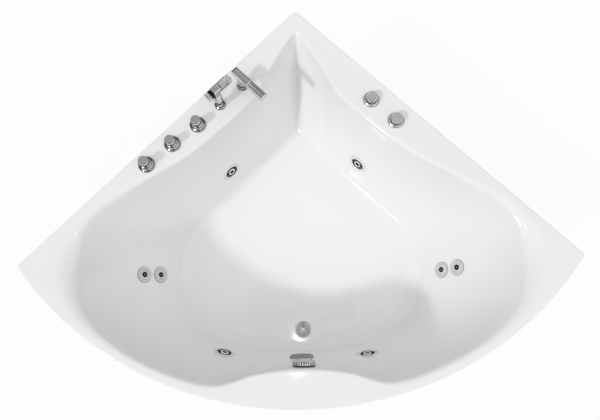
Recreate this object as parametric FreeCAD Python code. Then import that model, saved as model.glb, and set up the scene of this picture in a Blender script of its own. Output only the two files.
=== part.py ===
import FreeCAD, Part
import math
import os

# Corner bathtub with a deck-mounted filler, water jets, a rotary overflow and a pop-up waste.
# Millimetres. +Z is up, +Y points to the back corner of the room, +X is to the right for a
# person who stands at the curved front. Z = 0 is the floor that the feet stand on.
# Plan points are written from the back corner of the deck, with y negative towards the front,
# and heights are written from the deck, negative downwards. at() turns them into model points.

V = FreeCAD.Vector
UP = V(0, 0, 1)
DOWN = V(0, 0, -1)
ROOT2 = math.sqrt(2)

# Driving dimensions of the tub
WALL = 1400.0             # each wall side
DEPTH = 1477.0            # back corner to the middle of the curved front
RIM_Z = 600.0             # floor to deck
BASIN = 420.0             # deck to basin floor
SHEET = 6.0               # deck sheet and lip
BASIN_WALL = 9.0          # basin sheet with its glass-fibre backing
BASE_EXTRA = 15.0         # further thickness under the basin floor
LIP = 38.0                # height of the turned-down lip
CORNER_R = 15.0           # rounding of the three outer corners
DECK_EDGE = 5.0           # rounding of the outer deck edge

# Worked out from them
HALF = WALL / ROOT2
ARC_C = (2 * HALF ** 2 - DEPTH ** 2) / (2 * (HALF - DEPTH))
ARC_R = DEPTH - ARC_C
BACK_TIP = (ROOT2 - 1) * CORNER_R
Y_MID = (BACK_TIP + DEPTH) / 2
BASE_Z = -BASIN - BASE_EXTRA - SHEET

# Half of the basin's upper edge, from the back corner round to the middle of the front:
# x, y, and how far the edge is rounded
RIM = [
    (0, -98, 14), (30, -134, 14), (100, -255, 14), (150, -352, 14), (225, -435, 14),
    (400, -590, 16), (600, -712, 20), (760, -832, 32), (815, -980, 60), (760, -1140, 45),
    (620, -1268, 26), (430, -1362, 18), (290, -1394, 18), (150, -1361, 14), (0, -1347, 14),
]
# The same walls where they meet the basin floor: x, y, and the rounding there
FOOT = [
    (0, -330, 30), (24, -352, 30), (95, -424, 35), (150, -480, 40), (215, -545, 45),
    (330, -658, 50), (440, -770, 60), (497, -880, 70), (500, -985, 70), (485, -1100, 60),
    (415, -1212, 45), (330, -1262, 32), (235, -1291, 28), (125, -1309, 26), (0, -1316, 26),
]
SPAN_STEPS = 4            # points between two outline points
ROUND_STEPS = 4           # points along each rounding
WALL_STEPS = 4            # points down the straight wall

# Drain area: the floor falls towards the front inside a round edge
SUMP_R = 514.0
SUMP_FRONT = 1289.0
SUMP_START = 1050.0
SUMP_DROP = 9.5

# Deck fittings, plan position from the back corner
HOT = (-553, -628)
COLD = (-462, -550)
DIVERTER = (-370, -476)
HOLDER = (-288, -398)
SPOUT = (-205, -320)
REGULATOR = (280, -391)
BUTTON = (367, -477)

# Wall fittings: place along the half outline (left side negative) and depth below the deck
JETS = [(-4.52, 275), (4.29, 290), (-11.5, 293), (12.0, 282)]
SMALL_JETS = [(-8.15, 252), (-8.12, 314), (8.15, 314), (8.13, 254)]
SUCTION = (-13.98, 230)
OVERFLOW = (13.96, 47)
DRAIN = (4, -1231)

FIT = 0.05                # radial clearance of a turning or sliding fit
CLEAR = 0.4               # gap between pieces that must not touch

# Water jets
JET_R = 43.0
JET_BORE = 29.5
JET_SLEEVE = 33.0
SMALL_R = 32.5
SMALL_BORE = 21.0
SMALL_SLEEVE = 24.0
BODY_GAP = 20.0           # front of a jet body behind the basin surface

# Frame
TUBE = 30.0
TUBE_WALL = 2.0
BOARD_T = 16.0
RAIL_TOP = BASE_Z - BOARD_T
STUD_R = 5.95
FOOT_R = 25.0


def at(x, y, z=0.0):
    return V(x, y + Y_MID, RIM_Z + z)


# ---- small builders ----

def cylinder(base, axis, r, h):
    return Part.makeCylinder(r, h, base, axis)


def ring(base, axis, r_out, r_in, h):
    return cylinder(base, axis, r_out, h).cut(cylinder(base, axis, r_in, h))


def turned(profile, base, axis=UP):
    """Solid of revolution: profile is (radius, height) points, heights along the axis."""
    points = [V(r, 0, h) for r, h in profile]
    face = Part.Face(Part.makePolygon(points + [points[0]]))
    solid = face.revolve(V(0, 0, 0), UP, 360)
    solid.Placement = FreeCAD.Placement(base, FreeCAD.Rotation(UP, axis))
    return solid


def block(x0, x1, y0, y1, z0, z1):
    """Box between plan and height limits written from the back corner of the deck."""
    return Part.makeBox(x1 - x0, y1 - y0, z1 - z0, at(x0, y0, z0))


def local_box(sx, sy, sz, centre, turn_deg):
    """Box centred in plan on a point, standing on it, turned about Z."""
    box = Part.makeBox(sx, sy, sz, V(-sx / 2, -sy / 2, 0))
    box.Placement = FreeCAD.Placement(centre, FreeCAD.Rotation(UP, turn_deg))
    return box


def mirrored(shape):
    return shape.mirror(V(0, 0, 0), V(1, 0, 0))


def join(shapes):
    first = shapes[0]
    return first.fuse(shapes[1:]).removeSplitter() if len(shapes) > 1 else first


def group(shapes):
    solids = []
    for shape in shapes:
        solids.extend(shape.Solids)
    return Part.Compound(solids)


def pipe(points, r_out, r_in, bend):
    """Straight tubes joined by elbows along a route; each is a solid of its own."""
    solids = []
    start = points[0]
    for i in range(1, len(points)):
        step = points[i] - points[i - 1]
        direction = V(step).normalize()
        end = points[i]
        if i + 1 < len(points):
            after = V(points[i + 1] - points[i]).normalize()
            angle = direction.getAngle(after)
            reach = bend * math.tan(angle / 2)
            end = points[i] - direction * reach
        solids.append(ring(start, direction, r_out, r_in, start.distanceToPoint(end)))
        if i + 1 < len(points):
            side = direction.cross(after)
            middle = end + side.cross(direction).normalize() * bend
            elbow = []
            for r in (r_out, r_in):
                section = Part.Face(Part.Wire(Part.makeCircle(r, end, direction)))
                elbow.append(section.revolve(middle, side, math.degrees(angle)))
            solids.append(elbow[0].cut(elbow[1]))
            start = points[i] + after * reach
    return solids


# ---- outlines ----

def outline(inset, round_r, z):
    """Closed outline of the tub, moved inwards by inset."""
    wall_k = inset * ROOT2
    arc_r = ARC_R - inset
    near_k = (inset + round_r) * ROOT2
    m = near_k - ARC_C
    cx = (-m + math.sqrt(2 * (arc_r - round_r) ** 2 - m * m)) / 2
    cy = -cx - near_k
    to_wall = V(1, 1, 0).normalize()
    to_arc = V(cx, cy + ARC_C, 0).normalize()
    to_mid = (to_wall + to_arc).normalize()
    wall_end = (cx + to_wall.x * round_r, cy + to_wall.y * round_r)
    tip = (cx + to_mid.x * round_r, cy + to_mid.y * round_r)
    arc_end = (cx + to_arc.x * round_r, cy + to_arc.y * round_r)
    apex_y = -wall_k - round_r * ROOT2
    apex_end = (round_r / ROOT2, apex_y + round_r / ROOT2)

    def right(p):
        return at(p[0], p[1], z)

    def left(p):
        return at(-p[0], p[1], z)

    edges = [
        Part.LineSegment(right(apex_end), right(wall_end)).toShape(),
        Part.Arc(right(wall_end), right(tip), right(arc_end)).toShape(),
        Part.Arc(right(arc_end), at(0, -ARC_C - arc_r, z), left(arc_end)).toShape(),
        Part.Arc(left(arc_end), left(tip), left(wall_end)).toShape(),
        Part.LineSegment(left(wall_end), left(apex_end)).toShape(),
        Part.Arc(left(apex_end), at(0, apex_y + round_r, z), right(apex_end)).toShape(),
    ]
    return Part.Wire(edges)


def smooth(p0, p1, p2, p3, u):
    """Point between p1 and p2 on a centripetal curve through four points."""
    def gap(a, b):
        return max(1e-6, math.sqrt(math.hypot(a[0] - b[0], a[1] - b[1])))

    t1 = gap(p0, p1)
    t2 = t1 + gap(p1, p2)
    t3 = t2 + gap(p2, p3)
    t = t1 + (t2 - t1) * u

    def mix(a, b, ta, tb):
        return tuple(((tb - t) * i + (t - ta) * j) / (tb - ta) for i, j in zip(a, b))

    a1 = mix(p0, p1, 0.0, t1)
    a2 = mix(p1, p2, t1, t2)
    a3 = mix(p2, p3, t2, t3)
    return mix(mix(a1, a2, 0.0, t2), mix(a2, a3, t1, t3), t1, t2)


def full_loop(rows):
    """Both halves of an outline, round from the back corner by the right side."""
    left = [(-x, y, r) for x, y, r in reversed(rows[1:-1])]
    return rows + left


def loop_point(rows, place):
    """Outline point at a place counted in outline points; negative is the left side."""
    loop = full_loop(rows)
    count = len(loop)
    spot = place % count
    i = int(spot)
    four = [loop[(i + k) % count] for k in (-1, 0, 1, 2)]
    return smooth(four[0], four[1], four[2], four[3], spot - i)


def curve2(p, q, w, u):
    return tuple((1 - u) ** 2 * i + 2 * u * (1 - u) * j + u * u * k for i, j, k in zip(p, q, w))


def wall_profile(place, grow, top, bottom):
    """Points from the deck down one line of the basin wall and on to the floor."""
    rx, ry, edge_r = loop_point(RIM, place)
    fx, fy, foot_r = loop_point(FOOT, place)
    run = math.hypot(fx - rx, fy - ry)
    dx = (fx - rx) / run
    dy = (fy - ry) / run
    slope = math.hypot(run, BASIN)
    cs = run / slope
    sn = BASIN / slope
    edge_end = (edge_r * cs, -edge_r * sn)
    foot_end = (run - foot_r * cs, -BASIN + foot_r * sn)
    line = [curve2((-edge_r, 0), (0, 0), edge_end, i / ROUND_STEPS) for i in range(ROUND_STEPS)]
    for i in range(WALL_STEPS):
        u = i / WALL_STEPS
        line.append(tuple(a + (b - a) * u for a, b in zip(edge_end, foot_end)))
    for i in range(ROUND_STEPS + 1):
        line.append(curve2(foot_end, (run, -BASIN), (run + foot_r, -BASIN), i / ROUND_STEPS))
    scale = (bottom - top) / -BASIN
    points = []
    for s, z in line:
        points.append(at(rx + dx * (s - grow), ry + dy * (s - grow), top + z * scale))
    return points


def basin_solid(grow, top, bottom):
    """Solid of the basin's hollow, or with grow of its outside."""
    count = len(full_loop(RIM))
    lines = []
    for i in range(count * SPAN_STEPS):
        lines.append(wall_profile(i / SPAN_STEPS, grow, top, bottom))
    wires = []
    for level in range(len(lines[0])):
        curve = Part.BSplineCurve()
        curve.interpolate([line[level] for line in lines], PeriodicFlag=True)
        wires.append(Part.Wire(curve.toShape()))
    return Part.makeLoft(wires, True, False)


def wall_spot(place, depth):
    """Point on the straight basin wall and the direction there into the basin."""
    def spot(p, d):
        a = loop_point(RIM, p)
        b = loop_point(FOOT, p)
        u = d / BASIN
        return at(a[0] + (b[0] - a[0]) * u, a[1] + (b[1] - a[1]) * u, -d)

    step = 0.02
    along = spot(place + step, depth) - spot(place - step, depth)
    down = spot(place, depth + 1) - spot(place, depth - 1)
    normal = along.cross(down).normalize()
    centre = at(0, -900, -depth)
    here = spot(place, depth)
    if normal.dot(centre - here) < 0:
        normal = normal * -1
    return here, normal


# ---- the tub ----

def deck_with_lip():
    body = Part.Face(outline(0, CORNER_R, 0)).extrude(V(0, 0, -LIP))
    top_edges = [e for e in body.Edges if e.BoundBox.ZMin > RIM_Z - 0.1]
    body = body.makeFillet(DECK_EDGE, top_edges)
    hollow = Part.Face(outline(SHEET, CORNER_R - SHEET, -SHEET)).extrude(V(0, 0, -LIP))
    return body.cut(hollow)


def sump_cutter():
    profile = [
        at(-SUMP_R, -SUMP_START, -BASIN),
        at(-SUMP_R, -SUMP_FRONT, -BASIN - SUMP_DROP),
        at(-SUMP_R, -SUMP_FRONT, -BASIN + 1),
        at(-SUMP_R, -SUMP_START, -BASIN + 1),
    ]
    wedge = Part.Face(Part.makePolygon(profile + [profile[0]])).extrude(V(2 * SUMP_R, 0, 0))
    disc = cylinder(at(0, SUMP_R - SUMP_FRONT, -BASIN - 40), UP, SUMP_R, 80)
    return wedge.common(disc)


def through(spot, r):
    point, normal = spot
    return cylinder(point - normal * 60, normal, r, 120)


def seat(spot, r):
    """Cutter that makes the wall flat under a round flange."""
    point, normal = spot
    return cylinder(point, normal, r, 12)


def make_tub_shell():
    body = deck_with_lip().fuse(basin_solid(BASIN_WALL, -SHEET, BASE_Z))
    body = body.cut(basin_solid(0, 0, -BASIN))
    body = body.cut(sump_cutter())
    holes = []
    for place in JETS:
        holes.append(through(wall_spot(*place), JET_SLEEVE + 1))
        holes.append(seat(wall_spot(*place), JET_R + CLEAR))
    for place in SMALL_JETS:
        holes.append(through(wall_spot(*place), SMALL_SLEEVE + 1))
        holes.append(seat(wall_spot(*place), SMALL_R + CLEAR))
    holes.append(through(wall_spot(*SUCTION), SUCTION_NECK + 1))
    holes.append(seat(wall_spot(*SUCTION), SUCTION_R + CLEAR))
    holes.append(through(wall_spot(*OVERFLOW), OVERFLOW_NECK + 1))
    holes.append(seat(wall_spot(*OVERFLOW), OVERFLOW_BASE_R + CLEAR))
    holes.append(cylinder(at(DRAIN[0], DRAIN[1], BASE_Z - 5), UP, DRAIN_NECK + 1, 60))
    holes.append(cylinder(at(DRAIN[0], DRAIN[1], DRAIN_SEAT_Z), UP, DRAIN_R + CLEAR, 20))
    for x, y in (HOT, COLD, DIVERTER, HOLDER, SPOUT, REGULATOR, BUTTON):
        holes.append(cylinder(at(x, y, -20), UP, SHANK_R + 0.5, 40))
    return body.cut(holes)


# ---- filler on the left deck ----

SHANK_R = 14.0            # threaded shank of a deck fitting
SPINDLE_R = 6.0
FLANGE_R = 32.0
FLANGE_H = 12.0
HANDLE_R = 19.0
HANDLE_TOP = 48.0
CAP_R = 17.0
CAP_TOP = 51.0
VALVE_R = 21.0
VALVE_BOTTOM = -75.0
NIPPLE_R = 10.48
PIPE_LEVEL = -48.0
DECK_NUT_R = 20.0


def valve_body(x, y, with_inlet):
    profile = [
        (SPINDLE_R + FIT, 2), (SHANK_R, 2), (SHANK_R, -SHEET), (DECK_NUT_R, -SHEET),
        (DECK_NUT_R, -16), (SHANK_R, -16), (SHANK_R, -24), (VALVE_R, -28), (VALVE_R, -68),
        (15, VALVE_BOTTOM), (0, VALVE_BOTTOM), (0, -30), (SPINDLE_R + FIT, -30),
    ]
    body = turned(profile, at(x, y))
    if with_inlet:
        nipple = ring(at(x, y, VALVE_BOTTOM - 15), UP, NIPPLE_R, 7.5, 17)
        body = body.fuse(nipple)
    return body


def handle_flange(x, y):
    profile = [
        (SHANK_R + 0.3, 0), (FLANGE_R, 0), (FLANGE_R, 2.5), (30.5, 5), (27, 8), (22.5, 10.5),
        (20.5, FLANGE_H), (9, FLANGE_H), (9, 4), (SHANK_R + 0.3, 4),
    ]
    return turned(profile, at(x, y))


def handle(x, y):
    low = FLANGE_H + CLEAR
    profile = [
        (0, -28), (SPINDLE_R, -28), (SPINDLE_R, low), (17.5, low), (HANDLE_R, low + 1.5),
        (HANDLE_R, low + 8), (18, low + 9.5), (18, HANDLE_TOP), (CAP_R, HANDLE_TOP),
        (CAP_R, HANDLE_TOP - 3), (0, HANDLE_TOP - 3),
    ]
    return turned(profile, at(x, y))


def handle_cap(x, y):
    base = HANDLE_TOP - 3
    profile = [(0, base), (CAP_R - 0.02, base), (CAP_R - 0.02, CAP_TOP - 1), (CAP_R - 1, CAP_TOP),
               (0, CAP_TOP)]
    return turned(profile, at(x, y))


HOLDER_R = 22.0
GRIP_R = 10.0
GRIP_LOW = -30.0
NECK_TOP = 82.0
HEAD_LEN = 112.0
HEAD_WIDE = 27.0
HEAD_HIGH = 26.0
HEAD_ALONG = 20.0         # head centre beyond the neck, towards the back corner
HEAD_BACK = 8.0           # head centre behind the neck, towards the wall
BAND_AT = -40.0           # black band, along the head from its centre
BAND_LEN = 12.0
WALL_TURN = 45.0          # direction of the left wall in plan


def shower_holder():
    x, y = HOLDER
    profile = [
        (GRIP_R + FIT, 26), (12.5, 26), (13.5, 24), (14.5, 9), (19, 6.5), (HOLDER_R, 3),
        (HOLDER_R, 0), (SHANK_R, 0), (SHANK_R, -SHEET), (DECK_NUT_R, -SHEET), (DECK_NUT_R, -16),
        (SHANK_R, -16), (SHANK_R, -60), (GRIP_R + FIT, -60),
    ]
    return turned(profile, at(x, y))


def along_wall(centre, along, back, z):
    """Plan point moved along the left wall, towards the back corner, and towards that wall."""
    x = centre[0] + (along - back) / ROOT2
    y = centre[1] + (along + back) / ROOT2
    return at(x, y, z)


def shower_handle():
    x, y = HOLDER
    tail = turned([(5, GRIP_LOW), (GRIP_R, GRIP_LOW), (GRIP_R, 28), (5, 28)], at(x, y))
    low = Part.makePolygon(neck_corners(13, 11, 28))
    high = Part.makePolygon(neck_corners(14, 12, NECK_TOP))
    neck = Part.makeLoft([low, high], True, True)
    return tail.fuse(neck)


def neck_corners(half_along, half_back, z):
    signs = [(-1, -1), (1, -1), (1, 1), (-1, 1), (-1, -1)]
    return [along_wall(HOLDER, a * half_along, b * half_back, z) for a, b in signs]


def head_box(start, length, wide, high, z):
    centre = along_wall(HOLDER, HEAD_ALONG + start + length / 2, HEAD_BACK, z)
    box = local_box(length, wide, high, centre, WALL_TURN)
    long_edges = [e for e in box.Edges if e.Length > length - 0.1 and abs(e.Length - length) < 0.1]
    return box.makeFillet(3.0, long_edges[:4])


def shower_head():
    left = head_box(-HEAD_LEN / 2, HEAD_LEN / 2 + BAND_AT, HEAD_WIDE, HEAD_HIGH, NECK_TOP)
    right_start = BAND_AT + BAND_LEN
    right = head_box(right_start, HEAD_LEN / 2 - right_start, HEAD_WIDE, HEAD_HIGH, NECK_TOP)
    core = head_box(BAND_AT - 8, BAND_LEN + 16, 16, 12, NECK_TOP + 7)
    return join([left, right, core])


def shower_band():
    core = head_box(BAND_AT - 8, BAND_LEN + 16, 16, 12, NECK_TOP + 7)
    band = head_box(BAND_AT, BAND_LEN, HEAD_WIDE - 2, HEAD_HIGH - 2, NECK_TOP + 1)
    return band.cut(core)


SPOUT_BEHIND = 31.0       # bar's end beyond the column, towards the wall
SPOUT_REACH = 124.0       # bar's tip beyond the column, over the basin
SPOUT_WIDE = 28.0
SPOUT_LOW = 62.0
SPOUT_HIGH = 82.0
SPOUT_COVER_LEN = 80.0
TROUGH_WIDE = 20.0
TROUGH_DEEP = 9.0


def spout_bar(start, length, wide, z, high):
    """Block along the spout; start and length run from the wall towards the basin."""
    centre = along_wall(SPOUT, 0, -(start + length / 2), z)
    return local_box(wide, length, high, centre, WALL_TURN)


def spout_base():
    x, y = SPOUT
    profile = [
        (0, SPOUT_LOW), (15, SPOUT_LOW), (15, 10), (19, 6.5), (23, 3), (23, 0), (SHANK_R, 0),
        (SHANK_R, -SHEET), (DECK_NUT_R, -SHEET), (DECK_NUT_R, -16), (SHANK_R, -16),
        (SHANK_R, -62), (0, -62),
    ]
    return turned(profile, at(x, y))


def spout_body():
    length = SPOUT_BEHIND + SPOUT_REACH
    bar = spout_bar(-SPOUT_BEHIND, length, SPOUT_WIDE, SPOUT_LOW, SPOUT_HIGH - SPOUT_LOW)
    upright_edges = [e for e in bar.Edges if abs(e.Length - (SPOUT_HIGH - SPOUT_LOW)) < 0.1]
    bar = bar.makeFillet(2.5, upright_edges)
    cover_end = SPOUT_COVER_LEN - SPOUT_BEHIND
    trough = spout_bar(cover_end, SPOUT_REACH, TROUGH_WIDE, SPOUT_HIGH - TROUGH_DEEP, 20)
    groove = spout_bar(-SPOUT_BEHIND + 4, SPOUT_COVER_LEN - 4, TROUGH_WIDE, SPOUT_HIGH - 1.2, 20)
    return bar.cut([trough, groove])


def between(a, b, z, r_out, r_in, skip_a, skip_b):
    """Tube between two upright fittings, from surface to surface."""
    start = at(a[0], a[1], z)
    step = at(b[0], b[1], z) - start
    direction = V(step).normalize()
    return ring(start + direction * skip_a, direction, r_out, r_in, step.Length - skip_a - skip_b)


def mixer_pipes():
    inset = 1.0
    runs = [
        between(HOT, COLD, PIPE_LEVEL, 8, 6.5, VALVE_R - inset, VALVE_R - inset),
        between(COLD, DIVERTER, PIPE_LEVEL, 8, 6.5, VALVE_R - inset, VALVE_R - inset),
        between(DIVERTER, HOLDER, PIPE_LEVEL, 8, 6.5, VALVE_R - inset, SHANK_R - inset),
        between(HOLDER, SPOUT, PIPE_LEVEL, 8, 6.5, SHANK_R - inset, SHANK_R - inset),
    ]
    fittings = [valve_body(*HOT, True), valve_body(*COLD, True), valve_body(*DIVERTER, False),
                shower_holder(), spout_base()]
    return group([run.cut(fittings) for run in runs])


# ---- controls on the right deck ----

CONTROL_R = 31.5
KNOB_R = 21.5
KNOB_TOP = 30.0
BUTTON_R = 21.5
BUTTON_TOP = 30.0
BUTTON_TRAVEL = 5.0
COLLAR_H = 9.0


def control_base(inner):
    """Flange and threaded shank of a deck control; inner is its bore, listed downwards."""
    x, y = REGULATOR if inner[0][0] < BUTTON_R else BUTTON
    outer = [
        (CONTROL_R - 8, COLLAR_H), (CONTROL_R - 3, 7), (CONTROL_R, 4), (CONTROL_R, 0),
        (SHANK_R, 0), (SHANK_R, -SHEET), (DECK_NUT_R, -SHEET), (DECK_NUT_R, -16),
        (SHANK_R, -16), (SHANK_R, -48), (6, -52), (6, -60),
    ]
    return turned(outer + list(reversed(inner)), at(x, y))


def air_regulator_body():
    bore = SPINDLE_R + FIT
    return control_base([(bore, COLLAR_H), (bore, -30), (3.5, -30), (3.5, -60)])


def air_regulator_knob():
    x, y = REGULATOR
    low = COLLAR_H + CLEAR
    profile = [(0, -26), (SPINDLE_R, -26), (SPINDLE_R, low), (KNOB_R, low), (KNOB_R, KNOB_TOP - 4),
               (KNOB_R - 1.5, KNOB_TOP - 1), (KNOB_R - 5, KNOB_TOP), (0, KNOB_TOP)]
    knob = turned(profile, at(x, y))
    flutes = []
    flute_count = 12
    for i in range(flute_count):
        a = 2 * math.pi * i / flute_count
        spot = at(x + (KNOB_R + 1.6) * math.cos(a), y + (KNOB_R + 1.6) * math.sin(a), low - 1)
        flutes.append(cylinder(spot, UP, 2.6, KNOB_TOP - low - 5))
    return knob.cut(flutes)


def button_body():
    bore = BUTTON_R + FIT
    return control_base([(bore, COLLAR_H), (bore, 1.5), (11.5, 1.5), (11.5, -44), (1.6, -44),
                         (1.6, -60)])


def air_button():
    x, y = BUTTON
    low = BUTTON_TRAVEL + 2.5
    profile = [(0, -14), (SHANK_R - 4, -14), (SHANK_R - 4, low), (BUTTON_R, low),
               (BUTTON_R, BUTTON_TOP - 4), (BUTTON_R - 1.5, BUTTON_TOP - 1.5),
               (BUTTON_R - 5, BUTTON_TOP - 0.5), (0, BUTTON_TOP)]
    return turned(profile, at(x, y))


def button_spring():
    x, y = BUTTON
    wire_r = 0.9
    turns = 7
    coil_r = 6.5
    height = 30 - 2 * (wire_r + 0.1)
    helix = Part.makeHelix(height / turns, height, coil_r)
    start = V(coil_r, 0, 0)
    section = Part.Wire(Part.makeCircle(wire_r, start, V(0, 1, 0)))
    coil = Part.Wire(helix).makePipeShell([section], True, True)
    coil.translate(at(x, y, -44 + wire_r + 0.1))
    return coil


# ---- water jets ----

def jet_ring_at(spot, r_out, sleeve_r, bore_r):
    point, normal = spot
    profile = [
        (bore_r, 2.5), (bore_r + 2.5, 5), (r_out - 5, 5), (r_out - 1.5, 3.5), (r_out, 1.5),
        (r_out, 0), (sleeve_r, 0), (sleeve_r, -34), (bore_r, -34),
    ]
    return turned(profile, point, normal)


def jet_body_at(spot, sleeve_r, length, port_r):
    point, normal = spot
    inner = sleeve_r + 0.2
    outer = sleeve_r + 4.5
    back = -BODY_GAP - length
    profile = [
        (inner, -BODY_GAP), (outer + 5, -BODY_GAP), (outer + 5, -BODY_GAP - 5),
        (outer, -BODY_GAP - 5), (outer, back + 6), (outer - 6, back), (port_r, back),
        (port_r, back - PORT_LEN), (port_r - 3, back - PORT_LEN), (port_r - 3, back + 4),
        (inner - 4, back + 4),
        (inner - 4, -36), (inner, -36),
    ]
    return turned(profile, point, normal)


def turning_insert(spot, profile, bore_z, bore_r, tilt_deg):
    """Insert that turns in its ring; its slanted bore swings the water jet round."""
    point, normal = spot
    slant = V(math.sin(math.radians(tilt_deg)), 0, math.cos(math.radians(tilt_deg)))
    insert = turned(profile, V(0, 0, 0))
    insert = insert.cut(cylinder(V(0, 0, bore_z) - slant * 40, slant, bore_r, 46))
    insert.Placement = FreeCAD.Placement(point, FreeCAD.Rotation(UP, normal))
    return insert


def jet_nozzle(spot):
    r = JET_BORE - FIT
    profile = [
        (0, -32), (r, -32), (r, 0), (r - 1.5, 1.5), (23, 1.5), (22.5, -2.5), (21.8, -2.5),
        (21.5, 2), (19, 3.5), (12, 4), (9.5, 2), (8, -6), (0, -6),
    ]
    return turning_insert(spot, profile, -6, 6.5, 18)


def small_jet(spot):
    r = SMALL_BORE - FIT
    profile = [
        (0, -32), (r, -32), (r, 0), (r - 1.5, 1.5), (15, 2.5), (14.4, -1), (13.8, -1),
        (13.2, 5), (11.5, 6.5), (8, 6.5), (7, 4), (6.5, -4), (0, -4),
    ]
    return turning_insert(spot, profile, -4, 5, 14)


def jet_spots():
    return [wall_spot(*place) for place in JETS]


def small_jet_spots():
    return [wall_spot(*place) for place in SMALL_JETS]


JET_BODY_LEN = 42.0
PORT_LEN = 10.0
SMALL_BODY_LEN = 36.0
JET_PORT_R = 16.0
SMALL_PORT_R = 11.0


# ---- suction fitting, overflow and waste on the front ----

SUCTION_R = 45.0
SUCTION_NECK = 34.0
SUCTION_PORT = 34.0
OVERFLOW_NECK = 26.0
OVERFLOW_BASE_R = 34.0
OVERFLOW_KNOB_R = 39.5
KNOB_FRONT = 18.5
KNOB_REAR = 2.0
DRAIN_R = 35.0
DRAIN_NECK = 23.0
DRAIN_SEAT_Z = -431.0
DRAIN_TOP = -428.0
PLUG_R = 27.0
PLUG_STEM_R = 4.0
TEE_Z = -505.0
OVERFLOW_OUT = 41.0       # side outlet of the overflow body, from its middle
OVERFLOW_PIPE_R = 14.0
CABLE_R = 3.0
CABLE_AT = -12.0          # cable beside the middle of the overflow body
CABLE_INSIDE = 6.0        # cable end inside the overflow body
CABLE_LEVEL = -518.0
LEFT = V(-1, 0, 0)


def suction_body():
    point, normal = wall_spot(*SUCTION)
    profile = [
        (SUCTION_NECK - 4, 0), (SUCTION_R - 1, 0), (SUCTION_R - 1, 2), (SUCTION_NECK - 4, 2),
    ]
    flange = turned(profile, point, normal)
    neck = turned([(SUCTION_NECK - 4, 1), (SUCTION_NECK, 1), (SUCTION_NECK, -58), (0, -58),
                   (0, -54), (SUCTION_NECK - 4, -54)], point, normal)
    body = flange.fuse(neck).removeSplitter()
    port_start = point - normal * SUCTION_PORT
    outlet = cylinder(port_start, V(1, 0, 0), 19, SUCTION_NECK + 12)
    bore = cylinder(port_start, V(1, 0, 0), 16, SUCTION_NECK + 12)
    core = turned([(0, 1), (SUCTION_NECK - 4, 1), (SUCTION_NECK - 4, -54), (0, -54)], point, normal)
    return body.fuse(outlet).cut(bore).cut(core)


def suction_cover():
    point, normal = wall_spot(*SUCTION)
    profile = [
        (0, 5), (SUCTION_R - 3, 5), (SUCTION_R - 3, 2.2), (SUCTION_R, 2.2), (SUCTION_R, 6),
        (SUCTION_R - 4, 9), (SUCTION_R - 18, 11), (0, 12),
    ]
    cover = turned(profile, V(0, 0, 0))
    holes = []
    hole_r = 2.6
    for count, r in ((1, 0), (6, 9), (12, 18), (18, 27), (24, 35)):
        for i in range(count):
            a = 2 * math.pi * i / count
            holes.append(cylinder(V(r * math.cos(a), r * math.sin(a), -5), UP, hole_r, 30))
    cover = cover.cut(holes)
    cover.Placement = FreeCAD.Placement(point, FreeCAD.Rotation(UP, normal))
    return cover


def overflow_body():
    """Fixed base on the wall with the elbow behind it; the knob turns on its spigot."""
    point, normal = wall_spot(*OVERFLOW)
    profile = [
        (SPINDLE_R + FIT, 5), (20, 5), (OVERFLOW_BASE_R - 2, 3), (OVERFLOW_BASE_R, 0),
        (OVERFLOW_NECK, 0), (OVERFLOW_NECK, -44), (OVERFLOW_NECK - 3, -46), (0, -46), (0, -38),
        (SPINDLE_R + FIT, -38),
    ]
    body = turned(profile, point, normal)
    turn = FreeCAD.Placement(point, FreeCAD.Rotation(UP, normal))
    slots = []
    slot_count = 6
    for i in range(slot_count):
        a = 2 * math.pi * i / slot_count
        slots.append(cylinder(turn.multVec(V(14.5 * math.cos(a), 14.5 * math.sin(a), -38)),
                              normal, 4.5, 60))
    body = body.cut(slots)
    elbow = overflow_elbow_point()
    spigot = cylinder(elbow + LEFT * 16, LEFT, 16, OVERFLOW_OUT - 16)
    bore = cylinder(elbow + LEFT * 12, LEFT, 11.5, OVERFLOW_OUT)
    socket = cylinder(elbow + V(CABLE_AT, 0, -40), UP, CABLE_R + FIT, CABLE_INSIDE + 17)
    return body.fuse(spigot).cut([bore, socket])


def overflow_elbow_point():
    """Middle of the side outlet, inside the overflow body."""
    point, normal = wall_spot(*OVERFLOW)
    return point - normal * 33


def overflow_knob():
    point, normal = wall_spot(*OVERFLOW)
    r = OVERFLOW_KNOB_R
    profile = [
        (0, KNOB_FRONT), (r - 4, KNOB_FRONT), (r - 1, KNOB_FRONT - 1.5), (r, KNOB_FRONT - 4),
        (r, KNOB_FRONT - 5.5), (r - 1.5, KNOB_FRONT - 6.5), (r - 1.5, KNOB_REAR + 3),
        (r, KNOB_REAR + 2), (r, KNOB_REAR), (r - 4, KNOB_REAR), (r - 4, KNOB_FRONT - 5),
        (10, KNOB_FRONT - 5), (10, KNOB_REAR + 3), (SPINDLE_R, KNOB_REAR + 3), (SPINDLE_R, -30),
        (0, -30),
    ]
    knob = turned(profile, V(0, 0, 0))
    flutes = []
    flute_count = 36
    for i in range(flute_count):
        a = 2 * math.pi * i / flute_count
        spot = V(r * math.cos(a), r * math.sin(a), KNOB_REAR + 3)
        flutes.append(cylinder(spot, UP, 2.1, KNOB_FRONT - 9.5 - KNOB_REAR))
    knob = knob.cut(flutes)
    knob.Placement = FreeCAD.Placement(point, FreeCAD.Rotation(UP, normal))
    return knob


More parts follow.
